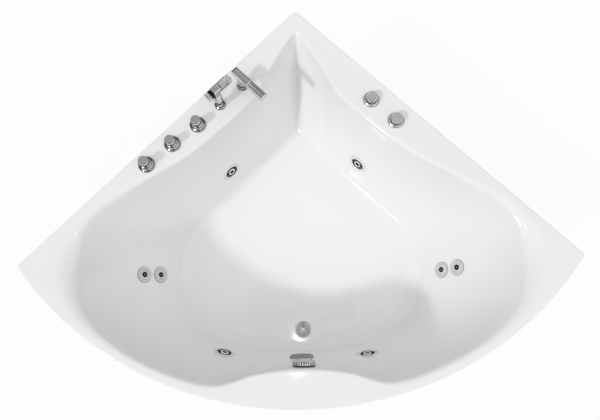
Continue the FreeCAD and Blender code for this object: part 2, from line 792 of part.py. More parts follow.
def drain_flange():
    x, y = DRAIN
    profile = [
        (PLUG_R + 1.5, DRAIN_TOP), (DRAIN_R - 3, DRAIN_TOP + 0.6), (DRAIN_R, DRAIN_TOP - 0.6),
        (DRAIN_R, DRAIN_SEAT_Z), (DRAIN_NECK, DRAIN_SEAT_Z), (DRAIN_NECK, -475),
        (DRAIN_NECK - 3, -475), (DRAIN_NECK - 3, DRAIN_SEAT_Z - 5), (PLUG_R + 1.5, DRAIN_SEAT_Z + 1),
    ]
    cup = turned(profile, at(x, y))
    hub = ring(at(x, y, -460), UP, PLUG_STEM_R + 3.5, PLUG_STEM_R + FIT, 14)
    bars = [block(x - DRAIN_NECK + 1, x + DRAIN_NECK - 1, y - 1.5, y + 1.5, -458, -450),
            block(x - 1.5, x + 1.5, y - DRAIN_NECK + 1, y + DRAIN_NECK - 1, -458, -450)]
    cross = bars[0].fuse(bars[1]).cut(cylinder(at(x, y, -470), UP, PLUG_STEM_R + 1, 40))
    return cup.fuse([cross, hub]).removeSplitter()


PLUG_TRAVEL = 10.0


def drain_plug():
    x, y = DRAIN
    top = DRAIN_TOP
    profile = [
        (0, top + 7), (6, top + 6.5), (7.5, top + 4), (PLUG_R - 8, top + 3.2),
        (PLUG_R - 2, top + 1.6), (PLUG_R, top), (PLUG_R, top - 1.5), (PLUG_R - 4, top - 1.5),
        (PLUG_R - 6, top - 0.5), (PLUG_STEM_R, top - 1.5), (PLUG_STEM_R, -478), (0, -478),
    ]
    return turned(profile, at(x, y))


def drain_tee():
    """Waste body below the floor with the side socket of the overflow pipe."""
    x, y = DRAIN
    barrel = turned([
        (DRAIN_NECK + FIT, BASE_Z - 2), (DRAIN_NECK + 9, BASE_Z - 2), (DRAIN_NECK + 9, BASE_Z - 8),
        (DRAIN_NECK + 4, BASE_Z - 12), (DRAIN_NECK + 4, -530), (DRAIN_NECK - 1, -530),
        (DRAIN_NECK - 1, -476), (DRAIN_NECK + FIT, -476),
    ], at(x, y))
    side = cylinder(at(x - DRAIN_NECK, y, TEE_Z), LEFT, 18, 24)
    bore = cylinder(at(x, y, TEE_Z), LEFT, OVERFLOW_PIPE_R + FIT, 60)
    hollow = cylinder(at(x, y, -529), UP, DRAIN_NECK - 1, 52)
    socket = cylinder(at(x, y, CABLE_LEVEL), V(0, -1, 0), CABLE_R + FIT, 40)
    return barrel.fuse(side.cut(hollow)).cut([bore, socket])


TRAP_LOW = -588.0
WASTE_REACH = 260.0       # end of the waste spigot, from the middle of the drain
SPIGOT_R = 20.0
SPIGOT_LEN = 40.0
OUTLET_Z = -556.0
TO_RIGHT_WALL = V(1, 1, 0).normalize()


def trap():
    x, y = DRAIN
    cup = turned([
        (DRAIN_NECK - 1, -530), (38, -530), (38, TRAP_LOW + 4), (34, TRAP_LOW), (0, TRAP_LOW),
        (0, TRAP_LOW + 4), (34, TRAP_LOW + 4), (34, -534), (DRAIN_NECK - 1, -534),
    ], at(x, y))
    middle = at(x, y, OUTLET_Z)
    pipe_len = WASTE_REACH - SPIGOT_LEN - 34
    outlet = cylinder(middle + TO_RIGHT_WALL * 34, TO_RIGHT_WALL, SPIGOT_R + 2, pipe_len)
    spigot_start = middle + TO_RIGHT_WALL * (WASTE_REACH - SPIGOT_LEN)
    spigot = cylinder(spigot_start, TO_RIGHT_WALL, SPIGOT_R, SPIGOT_LEN)
    bore = cylinder(middle + TO_RIGHT_WALL * 30, TO_RIGHT_WALL, SPIGOT_R - 3, WASTE_REACH)
    return cup.fuse([outlet, spigot]).cut(bore)


def overflow_pipe():
    """Runs down beside the suction fitting and under the floor to the waste body."""
    elbow = overflow_elbow_point()
    start = elbow + LEFT * OVERFLOW_OUT
    drain = at(DRAIN[0], DRAIN[1], TEE_Z)
    x = start.x - 38
    route = [start, V(x, elbow.y, elbow.z), V(x, elbow.y, drain.z), V(x, drain.y, drain.z),
             drain + LEFT * (DRAIN_NECK + 12)]
    return group(pipe(route, OVERFLOW_PIPE_R, OVERFLOW_PIPE_R - 2.5, 28))


def plug_cable():
    """Pull cable of the plug, from the overflow body to the front of the waste body."""
    elbow = overflow_elbow_point()
    drain = at(DRAIN[0], DRAIN[1], CABLE_LEVEL)
    top = elbow + V(CABLE_AT, 0, CABLE_INSIDE - 26)
    x = elbow.x - 48
    route = [top, top + V(0, 0, -40), V(x, elbow.y, elbow.z - 105), V(x, elbow.y, drain.z),
             V(drain.x, drain.y - 75, drain.z), drain + V(0, -DRAIN_NECK - 1, 0)]
    return group(pipe(route, CABLE_R, 1.2, 18))


# ---- frame, feet, panel and wall brackets ----

SIDE_POST = (905, -985)
APEX_POST = (0, -45)
FRONT_POST = (150, -1425)
CROSS_REAR = -600
CROSS_MID = -1000
CROSS_FRONT = -1330
PUMP_RAIL_END = 560
FOOT_STEM = 52.0          # part of the stud inside its nut and post
FOOT_SPOTS = [(0, -45), (-905, -985), (905, -985), (-150, -1425), (150, -1425), (0, CROSS_REAR)]


def tube_x(x0, x1, y):
    """Square tube along X under the board."""
    h = TUBE / 2
    w = TUBE_WALL
    low = RAIL_TOP - TUBE
    outer = block(x0, x1, y - h, y + h, low, RAIL_TOP)
    return outer.cut(block(x0, x1, y - h + w, y + h - w, low + w, RAIL_TOP - w))


def tube_y(x, y0, y1):
    """Square tube along Y under the board."""
    h = TUBE / 2
    w = TUBE_WALL
    low = RAIL_TOP - TUBE
    outer = block(x - h, x + h, y0, y1, low, RAIL_TOP)
    return outer.cut(block(x - h + w, x + h - w, y0, y1, low + w, RAIL_TOP - w))


def post(x, y):
    """Upright square tube with a drilled plug at its foot."""
    h = TUBE / 2
    w = TUBE_WALL
    low = RAIL_TOP - TUBE
    outer = block(x - h, x + h, y - h, y + h, low, -SHEET)
    tube = outer.cut(block(x - h + w, x + h - w, y - h + w, y + h - w, low + 14, -SHEET))
    return tube.cut(cylinder(at(x, y, low - 1), UP, STUD_R + FIT, 16))


def frame_rails():
    h = TUBE / 2
    side_x = SIDE_POST[0] - h
    low = RAIL_TOP - TUBE
    nut_block = block(-h, h, CROSS_REAR - h, CROSS_REAR + h, low, RAIL_TOP)
    nut_block = nut_block.cut(cylinder(at(0, CROSS_REAR, low - 1), UP, STUD_R + FIT, TUBE + 2))
    tubes = [
        tube_x(-330, -h, CROSS_REAR),
        nut_block,
        tube_x(h, PUMP_RAIL_END, CROSS_REAR),
        tube_x(-side_x, side_x, CROSS_MID),
        tube_x(-420, 420, CROSS_FRONT),
        tube_y(0, CROSS_REAR + h, APEX_POST[1] - h),
    ]
    for x in (-200, 200):
        tubes.append(tube_y(x, CROSS_MID + h, CROSS_REAR - h))
        tubes.append(tube_y(x, CROSS_FRONT + h, CROSS_MID - h))
    for x in (-FRONT_POST[0], FRONT_POST[0]):
        tubes.append(tube_y(x, FRONT_POST[1] + h, CROSS_FRONT - h))
    return group(tubes)


def frame_uprights():
    spots = FOOT_SPOTS[:5]
    return group([post(x, y) for x, y in spots])


def leveling_foot(x, y):
    nut_z = RAIL_TOP - TUBE
    stem = TUBE - 4 if y == CROSS_REAR else FOOT_STEM
    profile = [
        (0, -RIM_Z), (FOOT_R, -RIM_Z), (FOOT_R, -RIM_Z + 4), (FOOT_R - 4, -RIM_Z + 9),
        (9, -RIM_Z + 14), (9, -RIM_Z + 22), (STUD_R, -RIM_Z + 22), (STUD_R, nut_z + stem),
        (0, nut_z + stem),
    ]
    return turned(profile, at(x, y))


def base_board():
    half = [(0, -395), (400, -790), (455, -1080), (345, -1225), (0, -1280)]
    left = [(-x, y) for x, y in reversed(half[1:-1])]
    points = [at(x, y, BASE_Z - BOARD_T) for x, y in half + left]
    board = Part.Face(Part.makePolygon(points + [points[0]])).extrude(V(0, 0, BOARD_T))
    return board.cut(cylinder(at(DRAIN[0], DRAIN[1], BASE_Z - 30), UP, 45, 60))


PANEL_T = 5.0
PANEL_SET_BACK = 4.0
PANEL_LOW = -588.0
PANEL_TOP = -LIP - 2.0
PANEL_RETURN = 16.0
PANEL_HALF = 940.0        # half width of the panel between its ends


def arc_band(r_out, r_in, z0, z1, half_width):
    """Curved wall along the front, between two radii and cut off at both sides."""
    centre = at(0, -ARC_C, z0)
    band = ring(centre, UP, r_out, r_in, z1 - z0)
    y_end = -ARC_C - math.sqrt(r_out ** 2 - half_width ** 2)
    keep = block(-half_width, half_width, -ARC_C - r_out - 10, y_end + 14, z0, z1)
    return band.common(keep)


def front_panel():
    r_out = ARC_R - PANEL_SET_BACK
    r_in = r_out - PANEL_T
    skin = arc_band(r_out, r_in, PANEL_LOW, PANEL_TOP, PANEL_HALF)
    low = arc_band(r_out, r_out - PANEL_RETURN, PANEL_LOW, PANEL_LOW + PANEL_T, PANEL_HALF)
    high = arc_band(r_out, r_out - PANEL_RETURN, PANEL_TOP - PANEL_T, PANEL_TOP, PANEL_HALF)
    return join([skin, low, high])


def panel_clips():
    x, y = FRONT_POST
    h = TUBE / 2
    clips = []
    r_in = ARC_R - PANEL_SET_BACK - PANEL_T
    for side in (-1, 1):
        for z in (-150, -430):
            outer = block(side * x - 10, side * x + 10, y - h - 30, y - h, z - 15, z + 15)
            keep = cylinder(at(0, -ARC_C, z - 20), UP, r_in - CLEAR, 40)
            clips.append(outer.common(keep))
    return group(clips)


BRACKET_T = 3.0
BRACKET_WIDE = 60.0
BRACKET_HIGH = 70.0
BRACKET_SHELF = 24.0
BRACKET_HOLE_R = 3.25
BRACKET_HOLE_GAP = 36.0
BRACKET_PLACES = (330, 1120)


def wall_bracket(place):
    """Angle screwed to the right wall, under the lip; place is from the back corner."""
    top = RIM_Z - LIP
    plate = Part.makeBox(BRACKET_WIDE, BRACKET_T, BRACKET_HIGH,
                         V(place - BRACKET_WIDE / 2, -BRACKET_T, top - BRACKET_HIGH))
    shelf = Part.makeBox(BRACKET_WIDE, BRACKET_SHELF, BRACKET_T,
                         V(place - BRACKET_WIDE / 2, -BRACKET_SHELF, top - BRACKET_T))
    bracket = plate.fuse(shelf).removeSplitter()
    for side in (-1, 1):
        spot = V(place + side * BRACKET_HOLE_GAP / 2, -10, top - BRACKET_HIGH / 2)
        bracket = bracket.cut(cylinder(spot, V(0, 1, 0), BRACKET_HOLE_R, 20))
    turn = FreeCAD.Placement(V(0, Y_MID, 0), FreeCAD.Rotation(UP, -45))
    bracket.Placement = turn
    return bracket


def wall_brackets():
    right = [wall_bracket(place) for place in BRACKET_PLACES]
    return group(right + [mirrored(b) for b in right])


# ---- pump and pipework ----

PUMP = (778, -990)
PUMP_AXIS_Z = -385.0
MOTOR_R = 58.0
BOX_TOP = 74.0            # top of the terminal box above the axis
VOLUTE_R = 60.0
VOLUTE_FRONT = -1068.0
VOLUTE_BACK = -1008.0
MOTOR_FRONT = -1000.0
MOTOR_BACK = -884.0
SHAFT_R = 6.0
PORT_R = 20.0
OUTLET_LEN = 66.0
RING_LEVEL = -290.0
AIR_LEVEL = -215.0
BACK = V(0, 1, 0)


def pump_housing():
    x = PUMP[0]
    length = VOLUTE_BACK - VOLUTE_FRONT
    case = cylinder(at(x, VOLUTE_FRONT, PUMP_AXIS_Z), BACK, VOLUTE_R, length)
    inlet = cylinder(at(x, VOLUTE_FRONT - 22, PUMP_AXIS_Z), BACK, PORT_R, 24)
    outlet = cylinder(at(x - 30, VOLUTE_FRONT + 30, PUMP_AXIS_Z), UP, PORT_R, OUTLET_LEN)
    hollow = cylinder(at(x, VOLUTE_FRONT + 6, PUMP_AXIS_Z), BACK, VOLUTE_R - 6, length - 14)
    body = case.fuse([inlet, outlet])
    body = body.cut(hollow)
    body = body.cut(cylinder(at(x, VOLUTE_FRONT - 30, PUMP_AXIS_Z), BACK, PORT_R - 3, 50))
    body = body.cut(cylinder(at(x - 30, VOLUTE_FRONT + 30, PUMP_AXIS_Z), UP, PORT_R - 3,
                             OUTLET_LEN + 4))
    return body.cut(cylinder(at(x, VOLUTE_BACK - 20, PUMP_AXIS_Z), BACK, SHAFT_R + FIT, 40))


def pump_motor():
    x = PUMP[0]
    length = MOTOR_BACK - MOTOR_FRONT
    flange = cylinder(at(x, VOLUTE_BACK, PUMP_AXIS_Z), BACK, 44, MOTOR_FRONT - VOLUTE_BACK)
    case = cylinder(at(x, MOTOR_FRONT, PUMP_AXIS_Z), BACK, MOTOR_R - 4, length)
    fins = [flange]
    fin_count = 9
    for i in range(fin_count):
        y = MOTOR_FRONT + 6 + i * (length - 16) / (fin_count - 1)
        fins.append(cylinder(at(x, y, PUMP_AXIS_Z), BACK, MOTOR_R, 4))
    box = block(x - 30, x + 30, MOTOR_FRONT + 25, MOTOR_BACK - 20, PUMP_AXIS_Z + 40,
                PUMP_AXIS_Z + BOX_TOP)
    plate = block(x - 50, x + 50, MOTOR_FRONT - 38, MOTOR_BACK - 14, RAIL_TOP, RAIL_TOP + 4)
    cradle = block(x - 38, x + 38, MOTOR_FRONT + 14, MOTOR_BACK - 20, RAIL_TOP + 4, PUMP_AXIS_Z - 30)
    body = case.fuse(fins + [box, plate, cradle])
    body = body.cut(cylinder(at(x, MOTOR_FRONT + 8, PUMP_AXIS_Z), BACK, 34, length - 16))
    body = body.cut(cylinder(at(x, VOLUTE_BACK - 1, PUMP_AXIS_Z), BACK, SHAFT_R + FIT, 30))
    gland = cylinder(at(x + 26, MOTOR_FRONT + 50, PUMP_AXIS_Z + 60), V(1, 0, 0), 8, 18)
    body = body.fuse(gland)
    return body.cut(cylinder(at(x + 10, MOTOR_FRONT + 50, PUMP_AXIS_Z + 60), V(1, 0, 0), 4, 50))


def pump_rotor():
    x = PUMP[0]
    shaft_start = VOLUTE_FRONT + 14
    shaft = cylinder(at(x, shaft_start, PUMP_AXIS_Z), BACK, SHAFT_R, MOTOR_BACK - 12 - shaft_start)
    rotor = cylinder(at(x, MOTOR_FRONT + 22, PUMP_AXIS_Z), BACK, 30, 70)
    disc = cylinder(at(x, VOLUTE_FRONT + 34, PUMP_AXIS_Z), BACK, 46, 5)
    vanes = []
    vane_count = 6
    for i in range(vane_count):
        vane = Part.makeBox(34, 4, 16, V(10, -2, -16))
        vane.Placement = FreeCAD.Placement(V(0, 0, 0), FreeCAD.Rotation(UP, 360 * i / vane_count))
        vanes.append(vane)
    wheel = join(vanes + [cylinder(V(0, 0, -16), UP, 14, 16)])
    wheel.Placement = FreeCAD.Placement(at(x, VOLUTE_FRONT + 34.5, PUMP_AXIS_Z),
                                        FreeCAD.Rotation(UP, BACK))
    return shaft.fuse([rotor, disc, wheel]).removeSplitter()


def behind(spot, distance):
    point, normal = spot
    return point - normal * distance


def behind_level(spot, distance, z):
    """Point level with z, behind a wall fitting."""
    p = behind(spot, distance)
    return V(p.x, p.y, RIM_Z + z)


RING_R = 16.0
RING_BEND = 40.0
RING_BEHIND = 95.0        # ring main behind the jets
AIR_BEHIND = 64.0


def ring_route(distance, level, wide):
    """Route round the basin, open at the front; wide moves it outwards at the sides."""
    left_back, right_back, left_front, right_front = jet_spots()
    half = [(530 + wide, -1312), (712 + wide, -1175), (752 + wide, -1000), (690 + wide, -850)]
    left = [at(-x, y, level) for x, y in half]
    right = [at(x, y, level) for x, y in reversed(half)]
    back = [at(-150, -325, level), at(0, -180, level), at(150, -325, level)]
    route = [behind_level(left_front, distance, level)] + left
    route += [behind_level(left_back, distance, level)] + back
    route += [behind_level(right_back, distance, level)] + right
    route += [behind_level(right_front, distance, level)]
    tail = 26
    route[0] = route[0] + V(route[0] - route[1]).normalize() * tail
    route[-1] = route[-1] + V(route[-1] - route[-2]).normalize() * tail
    return route


def water_pipes():
    """Ring main with capped ends, its branches to the jets, and the suction line."""
    route = ring_route(RING_BEHIND, RING_LEVEL, 0)
    main = pipe(route, RING_R, RING_R - 3, RING_BEND)
    caps = []
    for end, inner in ((route[0], route[1]), (route[-1], route[-2])):
        caps.append(cylinder(end, end - inner, RING_R, 4))
    cores = []
    branches = []
    for spot in jet_spots():
        point, normal = spot
        start = point - normal * (BODY_GAP + JET_BODY_LEN + PORT_LEN)
        branches.append((cylinder(start, normal * -1, JET_PORT_R - 1, 26), []))
    for spot in small_jet_spots():
        point, normal = spot
        body = jet_body_at(spot, SMALL_SLEEVE, SMALL_BODY_LEN, SMALL_PORT_R)
        start = point - normal * (BODY_GAP + SMALL_BODY_LEN + PORT_LEN - 6)
        side = 1 if point.x > 0 else -1
        shift = 12 if point.z > RIM_Z - 280 else -32
        end = V(side * 750, start.y + shift, RIM_Z + RING_LEVEL)
        step = end - start
        branches.append((cylinder(start, step, SMALL_PORT_R - 2, step.Length), [body]))
    outlet = at(PUMP[0] - 30, VOLUTE_FRONT + 30, PUMP_AXIS_Z + OUTLET_LEN)
    branches.append((cylinder(outlet, UP, PORT_R - 2, RING_LEVEL - PUMP_AXIS_Z - OUTLET_LEN), []))
    for branch, others in branches:
        near = [s for s in main if s.BoundBox.intersect(branch.BoundBox)]
        cores.append(max(branch.cut(near + others).Solids, key=lambda s: s.Volume))
    return group(main + caps + cores + suction_pipe())


def suction_pipe():
    point, normal = wall_spot(*SUCTION)
    start = point - normal * SUCTION_PORT + V(SUCTION_NECK + 12, 0, 0)
    level = -385.0
    points = [
        start,
        V(116, start.y, start.z),
        V(116, start.y, RIM_Z + level),
        at(330, -1350, level),
        at(590, -1236, level),
        at(PUMP[0], -1140, level),
        at(PUMP[0], VOLUTE_FRONT - 22, level),
    ]
    return pipe(points, 19, 16, 24)


AIR_R = 6.0
AIR_HOSE_R = 3.0


def air_pipes():
    """Air ring with its riser to the regulator, and the line of the push button."""
    ring_main = pipe(ring_route(AIR_BEHIND, AIR_LEVEL, -6), AIR_R, AIR_R - 1.5, 30)
    x, y = REGULATOR
    low = AIR_LEVEL + 40
    riser = pipe([at(x, y, -60), at(x, y, low), at(240, -420, low)], 5, 3.5, 12)
    return group(ring_main + riser + control_hose())


def control_hose():
    """Thin air line from the push button to the switch on the motor."""
    x, y = BUTTON
    level = -180
    box_top = PUMP_AXIS_Z + BOX_TOP
    points = [at(x, y, -62), at(x, y, level), at(560, -655, level), at(740, -880, level),
              at(PUMP[0], -940, level), at(PUMP[0], -940, box_top)]
    return pipe(points, AIR_HOSE_R, 1.5, 20)


def make_parts():
    parts = {"tub_shell": make_tub_shell()}
    valves = {"hot": HOT, "cold": COLD, "diverter": DIVERTER}
    parts["valve_flanges"] = group([handle_flange(*spot) for spot in valves.values()])
    for name, spot in valves.items():
        parts["handle_" + name] = handle(*spot)
        parts["cap_" + name] = handle_cap(*spot)
    parts["valve_bodies"] = group(
        [valve_body(*HOT, True), valve_body(*COLD, True), valve_body(*DIVERTER, False)])
    parts["mixer_pipes"] = mixer_pipes()
    parts["shower_holder"] = shower_holder()
    parts["shower_handle"] = shower_handle()
    parts["shower_head"] = shower_head()
    parts["shower_band"] = shower_band()
    parts["spout_base"] = spout_base()
    parts["spout_body"] = spout_body()
    parts["air_regulator_body"] = air_regulator_body()
    parts["air_regulator_knob"] = air_regulator_knob()
    parts["button_body"] = button_body()
    parts["air_button"] = air_button()
    parts["button_spring"] = button_spring()
    big = jet_spots()
    small = small_jet_spots()
    parts["jet_rings"] = group([jet_ring_at(s, JET_R, JET_SLEEVE, JET_BORE) for s in big])
    parts["jet_bodies"] = group(
        [jet_body_at(s, JET_SLEEVE, JET_BODY_LEN, JET_PORT_R) for s in big])
    parts["small_jet_rings"] = group(
        [jet_ring_at(s, SMALL_R, SMALL_SLEEVE, SMALL_BORE) for s in small])
    parts["small_jet_bodies"] = group(
        [jet_body_at(s, SMALL_SLEEVE, SMALL_BODY_LEN, SMALL_PORT_R) for s in small])
    for i in range(4):
        parts["jet_nozzle_" + str(i + 1)] = jet_nozzle(big[i])
        parts["small_jet_" + str(i + 1)] = small_jet(small[i])
    parts["suction_body"] = suction_body()
    parts["suction_cover"] = suction_cover()
    parts["overflow_body"] = overflow_body()
    parts["overflow_knob"] = overflow_knob()
    parts["overflow_pipe"] = overflow_pipe()
    parts["plug_cable"] = plug_cable()
    parts["drain_flange"] = drain_flange()
    parts["drain_plug"] = drain_plug()
    parts["drain_tee"] = drain_tee()
    parts["trap"] = trap()
    parts["base_board"] = base_board()
    parts["frame_rails"] = frame_rails()
    parts["frame_uprights"] = frame_uprights()
    for i, (x, y) in enumerate(FOOT_SPOTS):
        parts["leveling_foot_" + str(i + 1)] = leveling_foot(x, y)
    parts["front_panel"] = front_panel()
    parts["panel_clips"] = panel_clips()
    parts["wall_brackets"] = wall_brackets()
    parts["pump_housing"] = pump_housing()
    parts["pump_motor"] = pump_motor()
    parts["pump_rotor"] = pump_rotor()
    parts["water_pipes"] = water_pipes()
    parts["air_pipes"] = air_pipes()
    return parts


def main():
    os.makedirs("parts", exist_ok=True)
    for name, shape in make_parts().items():
        shape.exportStep("parts/" + name + ".step")


if __name__ == "__main__":
    main()
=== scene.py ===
import math
from collections import namedtuple

import bmesh
import bpy
from mathutils import Matrix, Vector
from mathutils.geometry import tessellate_polygon


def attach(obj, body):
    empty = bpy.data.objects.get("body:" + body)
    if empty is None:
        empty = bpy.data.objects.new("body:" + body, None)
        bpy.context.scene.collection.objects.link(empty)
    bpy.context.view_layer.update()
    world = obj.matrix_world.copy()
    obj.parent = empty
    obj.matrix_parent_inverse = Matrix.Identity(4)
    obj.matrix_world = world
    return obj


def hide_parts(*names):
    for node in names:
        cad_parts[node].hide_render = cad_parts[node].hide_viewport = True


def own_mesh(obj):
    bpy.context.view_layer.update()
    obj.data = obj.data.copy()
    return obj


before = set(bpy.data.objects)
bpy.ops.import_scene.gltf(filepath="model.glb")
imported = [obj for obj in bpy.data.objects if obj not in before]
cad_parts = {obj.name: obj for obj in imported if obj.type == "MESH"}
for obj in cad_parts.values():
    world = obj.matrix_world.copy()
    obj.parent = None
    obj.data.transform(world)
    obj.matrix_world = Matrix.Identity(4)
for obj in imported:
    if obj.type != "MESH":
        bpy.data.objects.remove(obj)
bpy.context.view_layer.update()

# ---- sizes, in millimetres

# Plan points are from the back corner of the deck, heights from the deck, negative downwards

WALL = 1400.0
DEPTH = 1477.0
RIM_Z = 600.0
BASIN = 420.0
SHEET = 6.0
BACKING = 9.0
BASE_EXTRA = 15.0
LIP = 38.0
CORNER_R = 15.0
DECK_EDGE = 5.0
ROOT2 = math.sqrt(2)
HALF = WALL / ROOT2
ARC_C = (2 * HALF ** 2 - DEPTH ** 2) / (2 * (HALF - DEPTH))
ARC_R = DEPTH - ARC_C
Y_MID = ((ROOT2 - 1) * CORNER_R + DEPTH) / 2
BASE_Z = -BASIN - BASE_EXTRA - SHEET

# Half of the basin's upper edge, from the back round to the front: x, y, rounding
RIM = [
    (0, -98, 14), (30, -134, 14), (100, -255, 14), (150, -352, 14), (225, -435, 14),
    (400, -590, 16), (600, -712, 20), (760, -832, 32), (815, -980, 60), (760, -1140, 45),
    (620, -1268, 26), (430, -1362, 18), (290, -1394, 18), (150, -1361, 14), (0, -1347, 14),
]
# The same walls where they meet the floor
FOOT = [
    (0, -330, 30), (24, -352, 30), (95, -424, 35), (150, -480, 40), (215, -545, 45),
    (330, -658, 50), (440, -770, 60), (497, -880, 70), (500, -985, 70), (485, -1100, 60),
    (415, -1212, 45), (330, -1262, 32), (235, -1291, 28), (125, -1309, 26), (0, -1316, 26),
]
# The floor falls to the waste inside a round edge
SUMP_R = 514.0
SUMP_FRONT = 1289.0
SUMP_START = 1050.0
SUMP_DROP = 9.5

# Fittings: plan points on the deck; place along the half outline and depth on the walls
HOT = (-553, -628)
COLD = (-462, -550)
DIVERTER = (-370, -476)
HOLDER = (-288, -398)
SPOUT = (-205, -320)
REGULATOR = (280, -391)
BUTTON = (367, -477)
JETS = [(-4.52, 275), (4.29, 290), (-11.5, 293), (12.0, 282)]
SMALL_JETS = [(-8.15, 252), (-8.12, 314), (8.15, 314), (8.13, 254)]
SUCTION = (-13.98, 230)
OVERFLOW = (13.96, 47)
DRAIN = (4, -1231)
DRAIN_SEAT = -431.0
DOTS = (-3, -1128)
SHANK_R = 14.0


def at(x, y, z=0.0):
    """Point of the model, in metres, from plan millimetres off the back corner and the deck."""
    return Vector((x, y + Y_MID, RIM_Z + z)) / 1000


# ---- outlines of the basin

def smooth(four, u):
    """Point between the middle two of four points, on a curve through all of them."""
    p0, p1, p2, p3 = four

    def gap(a, b):
        return max(1e-6, math.sqrt(math.hypot(a[0] - b[0], a[1] - b[1])))

    t1 = gap(p0, p1)
    t2 = t1 + gap(p1, p2)
    t3 = t2 + gap(p2, p3)
    t = t1 + (t2 - t1) * u

    def mix(a, b, ta, tb):
        return tuple(((tb - t) * i + (t - ta) * j) / (tb - ta) for i, j in zip(a, b))

    a1 = mix(p0, p1, 0.0, t1)
    a2 = mix(p1, p2, t1, t2)
    a3 = mix(p2, p3, t2, t3)
    return mix(mix(a1, a2, 0.0, t2), mix(a2, a3, t1, t3), t1, t2)


def full_loop(rows):
    """Both halves of an outline."""
    return rows + [(-x, y, r) for x, y, r in reversed(rows[1:-1])]


def loop_point(rows, place):
    """Point of an outline at a place counted in rows from the back."""
    loop = full_loop(rows)
    count = len(loop)
    spot = place % count
    i = int(spot)
    return smooth([loop[(i + k) % count] for k in (-1, 0, 1, 2)], spot - i)


def between(a, b, u):
    """Point a share u of the way from a to b."""
    return tuple(i + (j - i) * u for i, j in zip(a, b))


def bend(p, q, w, u):
    """Point of a rounding from p to w whose corner is q."""
    return tuple((1 - u) ** 2 * i + 2 * u * (1 - u) * j + u * u * k for i, j, k in zip(p, q, w))


def wall_line(place, grow, top, bottom, edge_steps, wall_steps, foot_steps, apron=0.0):
    """Points from the deck down one line of the basin wall and on to the floor."""
    rx, ry, edge_r = loop_point(RIM, place)
    fx, fy, foot_r = loop_point(FOOT, place)
    run = math.hypot(fx - rx, fy - ry)
    dx = (fx - rx) / run
    dy = (fy - ry) / run
    slope = math.hypot(run, BASIN)
    cs = run / slope
    sn = BASIN / slope
    edge_end = (edge_r * cs, -edge_r * sn)
    foot_end = (run - foot_r * cs, -BASIN + foot_r * sn)
    line = [(-edge_r - apron, 0)] if apron else []
    line += [bend((-edge_r, 0), (0, 0), edge_end, i / edge_steps) for i in range(edge_steps)]
    line += [between(edge_end, foot_end, i / wall_steps) for i in range(wall_steps)]
    line += [bend(foot_end, (run, -BASIN), (run + foot_r, -BASIN), i / foot_steps)
             for i in range(foot_steps + 1)]
    scale = (bottom - top) / -BASIN
    return [(rx + dx * (s - grow), ry + dy * (s - grow), top + z * scale) for s, z in line]


def wall_spot(place, depth):
    """Point on the basin wall and the direction there into the basin."""
    def spot(p, d):
        x, y, _ = between(loop_point(RIM, p), loop_point(FOOT, p), d / BASIN)
        return at(x, y, -d)

    along = spot(place + 0.02, depth) - spot(place - 0.02, depth)
    down = spot(place, depth + 1) - spot(place, depth - 1)
    normal = along.cross(down).normalized()
    here = spot(place, depth)
    if normal.dot(at(0, -900, -depth) - here) < 0:
        normal.negate()
    return here, normal


def arc_points(centre, r, start, end, steps):
    """Points along an arc, without its last one."""
    angles = [start + (end - start) * i / steps for i in range(steps)]
    return [(centre[0] + r * math.cos(a), centre[1] + r * math.sin(a)) for a in angles]


def deck_outline(inset, z):
    """Points round the tub's outline, moved inwards by inset; always the same count."""
    round_r = CORNER_R - inset
    arc_r = ARC_R - inset
    near_k = CORNER_R * ROOT2
    m = near_k - ARC_C
    cx = (-m + math.sqrt(2 * (ARC_R - CORNER_R) ** 2 - m * m)) / 2
    cy = -cx - near_k
    to_arc = Vector((cx, cy + ARC_C)).normalized()
    a_wall = math.radians(45)
    a_arc = math.atan2(to_arc.y, to_arc.x)
    points = arc_points((0, -near_k), round_r, math.radians(90), a_wall, 6)
    out_x = round_r * math.cos(a_wall)
    out_y = round_r * math.sin(a_wall)
    wall = ((out_x, out_y - near_k), (cx + out_x, cy + out_y))
    points += [between(*wall, i / 24) for i in range(24)]
    points += arc_points((cx, cy), round_r, a_wall, a_arc, 10)
    points += arc_points((0, -ARC_C), arc_r, a_arc, math.radians(-90), 90)
    points.append((0, -ARC_C - arc_r))
    whole = points + [(-x, y) for x, y in reversed(points[1:-1])]
    return [at(x, y, z) for x, y in whole]


# ---- mesh helpers

def new_object(name, data):
    obj = bpy.data.objects.new(name, data)
    bpy.context.scene.collection.objects.link(obj)
    return obj


def as_mesh(bm, name):
    mesh = bpy.data.meshes.new(name)
    bm.to_mesh(mesh)
    bm.free()
    return mesh


def closed_mesh(bm, name):
    bmesh.ops.recalc_face_normals(bm, faces=bm.faces)
    return as_mesh(bm, name)


def applied(obj):
    """Mesh that an object's modifiers give."""
    bpy.context.view_layer.update()
    graph = bpy.context.evaluated_depsgraph_get()
    return bpy.data.meshes.new_from_object(obj.evaluated_get(graph))


def shade(mesh, angle):
    """Smooth faces, with sharp edges from an angle in degrees."""
    for face in mesh.polygons:
        face.use_smooth = True
    mesh.set_sharp_from_angle(angle=math.radians(angle))


def finish_mesh(bm, name, materials, angle=35, recalc=True):
    if recalc:
        bmesh.ops.remove_doubles(bm, verts=bm.verts, dist=1e-6)
        bmesh.ops.recalc_face_normals(bm, faces=bm.faces)
    mesh = as_mesh(bm, name)
    shade(mesh, angle)
    for mat in materials:
        mesh.materials.append(mat)
    return new_object(name, mesh)


def settle(obj, body, replaced):
    """Puts a piece on its body, in place of the solids that it replaces."""
    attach(obj, body)
    if replaced:
        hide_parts(*replaced)
    return obj


def ring_of(bm, points):
    return [bm.verts.new(p) for p in points]


def bridge(bm, a, b, mat=0):
    count = len(a)
    faces = []
    for i in range(count):
        j = (i + 1) % count
        face = bm.faces.new((a[i], a[j], b[j], b[i]))
        face.material_index = mat
        faces.append(face)
    return faces


